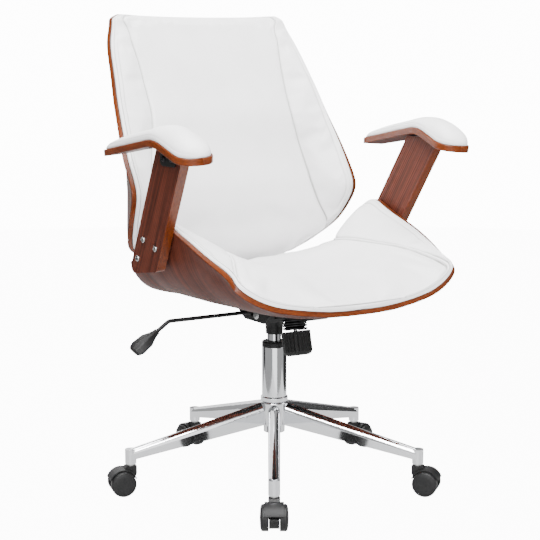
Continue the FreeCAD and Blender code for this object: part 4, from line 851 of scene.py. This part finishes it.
def seamPaths(top, shares, beside):
    # lines on the upper face that run beside each seam, with the face's outward direction
    cut = cushionMake["seamShare"]
    normal = unit(np.cross(np.gradient(top, axis=1), np.gradient(top, axis=0)))
    paths = []
    for side in (-1, 1):
        k = int(np.argmin(np.abs(shares - side * cut)))
        for way in (-1, 1):
            gaps = np.cumsum(np.linalg.norm(np.diff(top[:, k::way], axis=1), axis=-1), axis=1)
            place = np.array([np.interp(beside * mm, row, np.arange(1, len(row) + 1)) for row in gaps])
            low = np.floor(place).astype(int)
            part = (place - low)[:, None]
            r = np.arange(len(top))
            line = top[r, k + way * low] * (1 - part) + top[r, k + way * (low + 1)] * part
            paths.append((line, normal[r, k + way * low]))
    return paths


def makeStitches(name, top, shares, keep):
    piece = Piece()
    for line, normal in seamPaths(top, shares, stitchMake["beside"]):
        stitchLine(piece, line[keep], normal[keep], stitchMake)
    piece.build(name, [thread], "upper", "white_leather")


makeStitches("seatStitches", seatTop, seatShares, slice(16, -3))
makeStitches("backStitches", backTop, backShares, slice(26, -2))
print("stitches made")

# Arms: post, board and pad on each side

armForm = {
    "middle": 296.5, "axis": -100, "level": 690, "lean": 4.33, "toe": 3.1, "thick": 13, "half": 36,
    "taper": 14, "broad": -110, "nose": -226, "round": 2.0,
    # side view: rear, crest, dip and the point that the nose aims at, and the radii of crest and dip
    "line": [(88, 685), (-118, 717), (-216, 680), (-326, 698)], "radii": (105, 130)}
postForm = {
    # middle of the foot, the direction along the post, and the rounding of its lowest corners
    "x": 262.3, "z": 490, "along": (0, -0.5226, 0.8526), "footTop": 475, "footRound": 9}
padForm = {
    "share": (0.0, 0.02, 0.08, 0.22, 0.40, 0.55, 0.68, 0.78, 0.86, 0.92, 0.95, 0.97, 0.985, 1.0),
    "wide": (0.52, 0.58, 0.64, 0.72, 0.83, 0.93, 0.985, 0.995, 0.985, 0.93, 0.80, 0.65, 0.47, 0.16),
    "high": (4.5, 9, 14, 17.5, 19, 20, 24, 29, 31, 28, 24.5, 20, 15, 7), "half": 35.5, "band": 9.0,
    "square": 2.3, "round": 0.62, "drawn": 0.985, "fill": 0.9}
padRim = np.array([
    # share of the way up the border, bulge outwards, seam mark of painted shade at the foot and in the seam
    # groove
    (0, -0.3, 0.4), (0.08, 0.3, 0), (0.28, 0.9, 0), (0.55, 1.1, 0), (0.74, 1.0, 0), (0.84, 0.6, 0.1),
    (0.90, 0.1, 0.3), (0.94, 0.0, 0.3), (1, 0.2, 0)])


def armTurn(side):
    # outward lean after toe-in
    lean, toe = math.radians(side * armForm["lean"]), math.radians(-side * armForm["toe"])
    c, s = math.cos(lean), math.sin(lean)
    d, t = math.cos(toe), math.sin(toe)
    return np.array([[c, 0, s], [0, 1, 0], [-s, 0, c]]) @ np.array([[d, -t, 0], [t, d, 0], [0, 0, 1]])


def armPlaced(points, side):
    # from the arm's own drawing, centred over x = 0, to its leaned and toed place
    start = np.array([0, armForm["axis"], armForm["level"]])
    there = np.array([side * armForm["middle"], armForm["axis"], armForm["level"]])
    return ((points - start) @ armTurn(side).T + there) * mm


def boardLine(y):
    # height of the board's top at y: straight runs joined by a crest arc and a dip arc
    line = filleted(armForm["line"], armForm["radii"], 24)
    return np.interp(-np.asarray(y), -line[:, 0], line[:, 1])


def boardHalf(y):
    # half width at y: tapered towards the rear, parallel, round nose
    f = armForm
    half, reach = f["half"], f["half"] * 1.05
    wide = np.interp(-y, (-f["line"][0][0], -f["broad"]), (half - f["taper"], half))
    front = half * np.sqrt(np.clip(1 - (np.clip(f["nose"] + reach - y, 0, reach) / reach) ** 2, 0, 1))
    return np.maximum(np.where(y < f["nose"] + reach, np.minimum(wide, front), wide), 0.4)


def makeBoard(side, name, node):
    # the board line swept across the tapered width; the underside is moved square to the slope
    f = armForm
    nose, rear = f["nose"], f["line"][0][0]
    y = np.concatenate([np.linspace(nose + 0.02, nose + 6, 14), np.linspace(nose + 7, rear, 90)])
    s = np.linspace(-1, 1, 21)
    half = boardHalf(y)
    top = boardLine(y)
    slope = np.gradient(top, y)
    x = half[:, None] * s[None]
    upper = np.stack(np.broadcast_arrays(x, y[:, None], top[:, None]), -1)
    drop = f["thick"] / np.sqrt(1 + slope ** 2)
    lower = upper.copy()
    lower[..., 2] -= drop[:, None]
    lower[..., 1] += (drop * slope)[:, None]
    lower[-1, :, 1] = upper[-1, :, 1]
    uv = upper[..., :2] * mm + (side * 0.3, 0.1)
    rim = roundRim(f["thick"] * mm, f["round"] * mm)
    piece = slab(Piece(), armPlaced(lower, side), armPlaced(upper, side), rim, uv)
    piece.build(name, [veneer, plyEdge], "upper", "walnut_ply", [node])


def makePad(side, name, node):
    # domed section over the board: a band drawn in at the seam, then a top that falls from the middle as
    # (1 - share ** square) ** round, fuller towards the nose
    f, p = armForm, padForm
    lay = (1 - np.cos(np.linspace(0, math.pi, 84))) / 2
    start, stop = f["line"][0][0] - 1.2, f["nose"] + 3
    y = start + (stop - start) * lay
    half = curve(p["share"], np.array(p["wide"]) * p["half"], lay)
    full = curve(p["share"], p["high"], lay)
    base = boardLine(y) + 0.5
    s = np.sin(np.linspace(-math.pi / 2, math.pi / 2, 33))
    x = half[:, None] * s[None]
    lower = np.stack(np.broadcast_arrays(x, y[:, None], base[:, None]), -1)
    band = np.minimum(p["band"], full * 0.5)
    dome = (full - band)[:, None] * (1 - np.abs(s[None]) ** p["square"]) ** p["round"]
    upper = np.stack(np.broadcast_arrays(x * p["drawn"], y[:, None], (base + band)[:, None] + dome), -1)
    # the rim's third column is painted shade at the foot and in the seam groove
    piece = slab(Piece(), armPlaced(lower, side), armPlaced(upper, side), padRim[:, :2] * (1, mm),
                 lower[..., :2] * mm, (0, 0, 0), 0.0, padRim[:, 2])
    piece.build(name, [leather], "upper", "white_leather", [node], subdivide=1)


def postAcross(side):
    # the direction out of the post's wide face
    lean = math.radians(armForm["lean"])
    return side * math.cos(lean), 0, -math.sin(lean)


def plySplit(side):
    # the foot's corners are rounded; then faces square to the post's own side are veneer with the grain along
    # the post, and the rest is ply edge
    f = postForm
    across = Vector(postAcross(side))
    along = Vector(f["along"])
    other = across.cross(along)

    def split(made, layer):
        foot = [e for e in made.edges if max(v.co.z for v in e.verts) < f["footTop"] * mm
                and abs((e.verts[0].co - e.verts[1].co).normalized().dot(across)) > 0.98
                and len(e.link_faces) == 2 and e.calc_face_angle() > 0.3]
        bmesh.ops.bevel(made, geom=foot, offset=f["footRound"] * mm, offset_type="OFFSET", segments=6,
                        profile=0.5, affect="EDGES")
        for face in made.faces:
            wide = abs(face.normal.dot(across)) > 0.9
            face.material_index = 0 if wide else 1
            for loop in face.loops:
                p = loop.vert.co
                loop[layer].uv = (p.dot(other), p.dot(along)) if wide else (p.dot(along), p.dot(across))
    return split


for side, word in ((1, "Left"), (-1, "Right")):
    low = word.lower()
    makeBoard(side, "armBoard" + word, "arm_board_" + low)
    makePad(side, "armPad" + word, "arm_pad_" + low)
    softened("arm_post_" + low, "armPost" + word, [veneer, plyEdge], "upper", 1.5,
             segments=3, split=plySplit(side))
    softened("arm_bracket_" + low, "armBracket" + word, [blackPaint], "upper", 0.6)
print("arms made")

# Steel and plastic parts


def boltGrid(place, axis, side, head, dome, shank, length):
    # shank, under-head and domed head as one sheet of rings round the axis; the cross is sunk where a point
    # is near enough to either of its arms
    ring = np.linspace(0, 2 * math.pi, 65)
    axis, side = unit(np.asarray(axis, float)), unit(np.asarray(side, float))
    other = np.cross(axis, side)
    top = np.array([(1.0, 0.12), (0.985, 0.35), (0.93, 0.6), (0.82, 0.8), (0.68, 0.92), (0.56, 0.97),
                    (0.46, 0.99), *[(share, 1.0) for share in (0.36, 0.27, 0.19, 0.12, 0.06, 0.0)]])
    rows = np.concatenate([[(0, -length), (shank, -length), (shank, 0), (head, 0)], top * (head, dome)])
    r, h = rows[:, :1], rows[:, 1:]
    x, z = r * np.cos(ring)[None], r * np.sin(ring)[None]
    arm = np.minimum(np.abs(x), np.abs(z)) < crossForm["wide"] * head
    inner = (np.maximum(np.abs(x), np.abs(z)) < crossForm["reach"] * head) & (h > 0.5 * dome)
    h = h - np.where(arm & inner, crossForm["depth"] * dome, 0.0)
    return (np.asarray(place, float) + x[..., None] * side + z[..., None] * other + h[..., None] * axis) * mm


def postPoint(x, y, z, side):
    # from the post's own drawing to its leaned place
    c, s = math.cos(math.radians(armForm["lean"])), math.sin(math.radians(armForm["lean"]))
    return np.array([side * (postForm["x"] + x * c + z * s), y, postForm["z"] + z * c - x * s])


crossForm = {"wide": 0.16, "reach": 0.62, "depth": 0.7}  # shares of the head's radius and of its dome
boltForm = {
    # places along the surface, the level of it, then head radius, dome, shank radius and length
    "postBolts": ([(17.3, 25), (-29.7, 13), (47.3, -14.5)], 19, (6.2, 4, 3, 29.5)),
    "bracketScrews": ([(-126, 187.9), (-96, 187.9)], 22, (5.5, 3, 2.5, 14.9)),
    "backScrews": ([(66, 436.7), (38, 453.08)], 230.3, (6.5, 4, 3.2, 17)),
    "plateBolts": ([(61, -110), (61, 56)], 371.4, (6.5, 4.5, 3, 11))}


def makeBolts(name, node, metal):
    # a bolt at each place on both sides; on the arm posts each cross is turned a radian further
    places, level, sizes = boltForm[name]
    piece = Piece()
    for side in (1, -1):
        for k, (a, b) in enumerate(places):
            if name == "backScrews":
                place, axis, cross = (side * a, level, b), (0, 1, 0), (1, 0, 0.3)
            elif name == "plateBolts":
                place, axis, cross = (side * a, b, level), (0, 0, -1), (1, 0.4, 0)
            else:
                place, axis = postPoint(level, a, b, side), postAcross(side)
                cross = (0, math.cos(k), math.sin(k))
            piece.grid(boltGrid(place, axis, cross, *sizes))
    piece.build(name, [metal], "upper", "bright_steel", [node], sharp=40)


makeBolts("postBolts", "post_bolts", steel)
makeBolts("bracketScrews", "bracket_screws", darkSteel)
makeBolts("backScrews", "back_screws", steel)
makeBolts("plateBolts", "plate_bolts", steel)

springForm = {
    "radius": 22.5, "wire": 2.0, "sleeve": (9, 19.6), "top": -8.64, "low": -31.4, "coils": 4, "seat": -34.0,
    "over": 0.03, "ease": 0.035, "lean": 13.0, "y": -71, "z": 356, "keep": 0.68}


def leaned(points):
    # from the tension bolt's own axis to its lean under the tray
    a = math.radians(springForm["lean"])
    turn = np.array([[1, 0, 0], [0, math.cos(a), math.sin(a)], [0, -math.sin(a), math.cos(a)]])
    return (points @ turn.T + (0, springForm["y"], springForm["z"])) * mm


def makeSpring():
    # round wire on a helix whose ends lie flatter against their seats, over a dark sleeve
    f = springForm
    share = np.linspace(-f["over"], 1 + f["over"], 300)
    turn = share * f["coils"] * 2 * math.pi
    ease = np.clip(share, 0, 1)
    height = f["top"] + (f["low"] - f["top"]) * (ease + f["ease"] * np.sin(2 * math.pi * ease))
    path = np.stack([f["radius"] * np.cos(turn), f["radius"] * np.sin(turn), height], 1)
    out = np.stack([np.cos(turn), np.sin(turn), 0 * turn], 1)
    piece = Piece().grid(leaned(tube(path, out, f["wire"], 14)))
    inner, outer = f["sleeve"]
    piece.grid(leaned(lathe([(inner, f["low"]), (outer, f["low"]), (outer, f["top"]), (inner, f["top"]),
                             (inner, f["low"])], 64)))
    made = piece.build("tensionSpring", [darkSteel], "upper", "black_steel", ["tension_spring"])
    low = leaned(np.array([0, 0, f["seat"]]))
    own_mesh(made)


knobForm = {"top": -34, "high": 48, "radius": 29, "ribs": 20, "depth": 1.3, "valley": 0.11, "bore": 4.05}


def makeKnob():
    # lathe profile whose side is pulled in by narrow bell-shaped valleys between broad ribs
    f = knobForm
    top, low, r = f["top"], f["top"] - f["high"], f["radius"]
    line = filleted([(0, low), (r - 8, low), (r - 3, low + 2.5), (r, low + 8), (r, top), (f["bore"], top),
                     (f["bore"], low + 9), (0, low + 9)], (3, 2.5, 4, 2, 0.4, 0.4), 5)
    side = np.linspace(low + 10, top - 3, 12)
    cut = int(np.argmax(line[:, 1] > low + 10))
    line = np.concatenate([line[:cut], np.stack([np.full(12, float(r)), side], 1), line[cut:]])
    grid = lathe(line, 240)
    turn = np.linspace(0, 2 * math.pi, 241)
    valley = np.exp(-((((turn * f["ribs"] / (2 * math.pi)) % 1 - 0.5) / f["valley"]) ** 2))
    h = line[:, 1]
    fade = np.clip((h - low - 4) / 5, 0, 1) * np.clip((top - 1.5 - h) / 3, 0, 1) * (line[:, 0] > r - 4)
    grid[..., :2] *= (1 - f["depth"] / r * fade[:, None] * valley[None])[..., None]
    Piece().grid(leaned(grid)).build(
        "tensionKnob", [nylon], "knob", "black_plastic", ["tension_knob"], sharp=50)


makeSpring()
makeKnob()

leverForm = {
    "z": 354.5, "radius": 4.0, "start": 6, "reach": 240, "out": 25, "drop": 17, "bend": 16, "tuck": 8}


def leverEnd(f):
    # direction of the bent part and the point where the paddle begins
    down = np.array([-f["out"], 0, -f["drop"]], float)
    return unit(down), np.array([-f["reach"], 0, f["z"]]) + down


def makeLever():
    # bent rod from over the release button out into the paddle's socket
    f = leverForm
    run, tail = leverEnd(f)
    path = filleted(
        [(f["start"], 0, f["z"]), (-f["reach"], 0, f["z"]), tail + run * f["tuck"]], f["bend"], 12)
    Piece().grid(tube(path, (0, 1, 0), f["radius"], 24) * mm).build(
        "leverRod", [blackPaint], "lever", "black_steel", ["lever_rod"], sharp=60)


paddleForm = {
    "socket": 9, "bore": 4.05, "twist": -36.0, "cut": 1.36,
    # distance from the rod's end, half width, half thickness
    "stations": [(0, 5.6, 5.6), (7, 6.6, 6.2), (13, 8.4, 7.0), (27, 14.6, 9.6), (50, 16.2, 8.8),
                 (59, 13.6, 6.4), (62, 10.5, 4.2)]}


def makePaddle():
    # a faceted wedge: sections with cut corners grow from the neck to a blunt end, round a socket for the rod
    f = paddleForm
    run, start = leverEnd(leverForm)
    twist = math.radians(f["twist"])
    wide = math.cos(twist) * np.array([0, 1.0, 0]) + math.sin(twist) * np.cross(run, (0, 1, 0))
    thick = np.cross(run, wide)
    ring = np.linspace(0, 2 * math.pi, 97)
    c, s = np.cos(ring), np.sin(ring)
    square = np.maximum(np.maximum(np.abs(c), np.abs(s)), (np.abs(c) + np.abs(s)) / f["cut"])
    depth, bore = f["socket"], f["bore"]
    rows = [(depth, 0 * c, 0 * s), (depth, bore * c, bore * s), (0, bore * c, bore * s)]
    rows += [(t, a * c / square, b * s / square) for t, a, b in f["stations"]]
    rows.append((f["stations"][-1][0], 0 * c, 0 * s))
    grid = np.stack([start + t * run + x[:, None] * wide + y[:, None] * thick for t, x, y in rows])
    Piece().grid(grid * mm).build(
        "leverPaddle", [nylon], "lever", "black_plastic", ["lever_paddle"], sharp=18)


makeLever()
makePaddle()

wheelForm = {
    "circle": 298.5, "trail": 18, "inner": 10.2, "wide": 16.6, "radius": 25, "turn": 237.67, "axle": 3.05,
    # points (in from the tread, short of the full width) of the shoulder and the disc's rim; then the recess
    "profile": [(0, 5.5), (1.8, 2.6), (3.4, 2.2), (8, 0.9)], "recess": 3}


def makeWheels():
    # one profile of tread, round shoulder and a slightly domed disc, turned round each axle
    f = wheelForm
    r, w = f["radius"], f["wide"]
    recess = w - f["recess"]
    line = filleted(
        [(f["axle"], 0), (r, 0), *[(r - inward, w - short) for inward, short in f["profile"]], (0, w),
         (0, recess), (f["axle"], recess), (f["axle"], 0)], (1, 2.5, 1.2, 0.6, 14, 0.01, 0.01, 0.01), 4)
    for number in range(5):
        a = math.radians(f["turn"] + 72 * number)
        out, tangent = np.array([math.cos(a), math.sin(a), 0]), np.array([-math.sin(a), math.cos(a), 0])
        for side, word in ((1, "Left"), (-1, "Right")):
            place = out * (f["circle"] + f["trail"]) + tangent * side * f["inner"] + (0, 0, r)
            node = "wheel_%s_%d" % (word.lower(), number)
            wheel = Piece().grid(lathe(line, 72, place, tangent * side, out) * mm)
            wheel.build("wheel%s%d" % (word, number), [nylon], node, "black_plastic", [node], sharp=50)


makeWheels()

for node in ["base_hub", "column_tube", "column_collar", *["base_leg_%d" % k for k in range(5)]]:
    softened(node, node.title().replace("_", ""), [chrome], "base", 1.2, segments=3)
softenedParts = [
    # node, piece, material, body, slot, width of the rounded edges
    ("column_bush", "columnBush", nylon, "base", "black_plastic", 0.8),
    ("gas_tube", "gasTube", chrome, "under_frame", "bright_steel", 0.3),
    ("tilt_housing", "tiltHousing", blackPaint, "under_frame", "black_steel", 0.8),
    ("seat_plate", "seatPlate", blackPaint, "upper", "black_steel", 0.7),
    ("pivot_pin", "pivotPin", steel, "under_frame", "bright_steel", 0.6),
    *[("caster_hood_%d" % k, "casterHood%d" % k, nylon, "caster_%d" % k, "black_plastic", 0.7)
      for k in range(5)]]
for node, name, material, body, slot, width in softenedParts:
    softened(node, name, [material], body, width)
print("steel and plastic parts made")

# Floor and light

stageSetup = {
    "floor": (0.62, 0.62, 0.62), "floorShade": (0.58, 0.58, 0.58), "floorHalf": 7.0,
    "sweep": 6.0, "sweepHigh": 8.0, "sweepRound": 1.8, "glow": 12.0,
    "nearGlow": 1.1, "nearHalf": 0.8, "below": 1.0, "above": 1.4,
    # cards that only reflections see: azimuth from the camera's side, width, distance, brightness
    "cards": [(5, 1.7, 2.2, 2.4), (122, 1.3, 1.3, 0.0), (-103, 0.45, 1.3, 0.0), (-150, 0.8, 1.6, 1.6)]}


def stageObject(name, points, material, *, camera=False, diffuse=False, glossy=False, shadow=False):
    # a grid of points that only the named kinds of ray meet
    points = np.asarray(points, float)
    mesh = bpy.data.meshes.new(name)
    mesh.from_pydata(points.reshape(-1, 3).tolist(), [], gridFaces(*points.shape[:2]).tolist())
    made = newObject(name, mesh, [material])
    made.visible_camera, made.visible_diffuse, made.visible_glossy, made.visible_shadow = (
        camera, diffuse, glossy, shadow)


def glowing(name, colour, strength):
    return Net(name).finish(Base_Color=colour, Emission_Color=(1.0, 1.0, 1.0), Emission_Strength=strength)


def makeStage(setup):
    # a pale floor for bounce light, a white sweep all round it that only the camera sees, and reflector cards
    net = Net("paleFloor")
    soft = net.noise(net.coords(), 3.0, 2.0)
    net.finish(
        Base_Color=net.blendColours(soft * 0.04, setup["floor"], setup["floorShade"]), Roughness=0.6)
    square = np.array([[(-1, -1, 0), (1, -1, 0)], [(-1, 1, 0), (1, 1, 0)]])
    stageObject("floor", square * setup["floorHalf"], net.material, diffuse=True, shadow=True)
    near = glowing("floorGlow", (0.3, 0.3, 0.3), setup["nearGlow"])
    stageObject("floorGlow", square * setup["nearHalf"] - (0, 0, 0.004), near, glossy=True)
    far = setup["sweep"]
    line = filleted([(0, -0.003), (far, -0.003), (far, setup["sweepHigh"])], setup["sweepRound"], 24)
    stageObject("sweep", lathe(line, 96), glowing("whiteSweep", (0.9, 0.9, 0.9), setup["glow"]), camera=True)
    for number, (angle, wide, distance, glow) in enumerate(setup["cards"]):
        b = math.radians(cameraSetup["azimuth"] + angle)
        centre = np.array([math.sin(b), -math.cos(b), 0]) * distance
        edge = np.array([math.cos(b), math.sin(b), 0]) * wide / 2
        ends = np.array([centre - edge, centre + edge])
        name = "card%d" % number
        stageObject(name, [ends - (0, 0, setup["below"]), ends + (0, 0, setup["above"])],
                    glowing(name, (0.01, 0.01, 0.01), glow), glossy=True)


makeStage(stageSetup)

lightSetup = [
    # name, place, aim, size, power
    ("keyLight", (-2.2, -2.6, 3.4), (0, 0, 0.5), 2.6, 470.0),
    ("fillLight", (3.0, -2.0, 2.2), (0, 0, 0.5), 2.8, 75.0),
    ("topLight", (0.2, -0.4, 4.2), (0, 0, 0.4), 3.2, 470.0),
    ("backLight", (0.6, 3.4, 2.6), (0, 0, 0.6), 2.4, 90.0)]
worldGlow = 0.46


def makeLight(name, place, aim, wide, power):
    data = bpy.data.lights.new(name, "AREA")
    data.shape, data.size, data.energy = "SQUARE", wide, power
    standing(name, data, place, Vector(aim) - Vector(place))


for light in lightSetup:
    makeLight(*light)
world = bpy.data.worlds.new("studio")
world.use_nodes = True
world.node_tree.nodes["Background"].inputs[0].default_value = (1, 1, 1, 1)
world.node_tree.nodes["Background"].inputs[1].default_value = worldGlow
bpy.context.scene.world = world
print("stage and lights made")

# Materials of the CAD nodes that stay

nodeLooks = {
    nylon: ["thrust_bearing"],
    steel: ["caster_stems", "piston_rod", "piston_clip", "release_button", "post_spacers", "tension_bolt",
            *["caster_axle_%d" % k for k in range(5)]]}
for material, names in nodeLooks.items():
    for name in names:
        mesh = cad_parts[name].data
        mesh.materials.clear()
        mesh.materials.append(material)
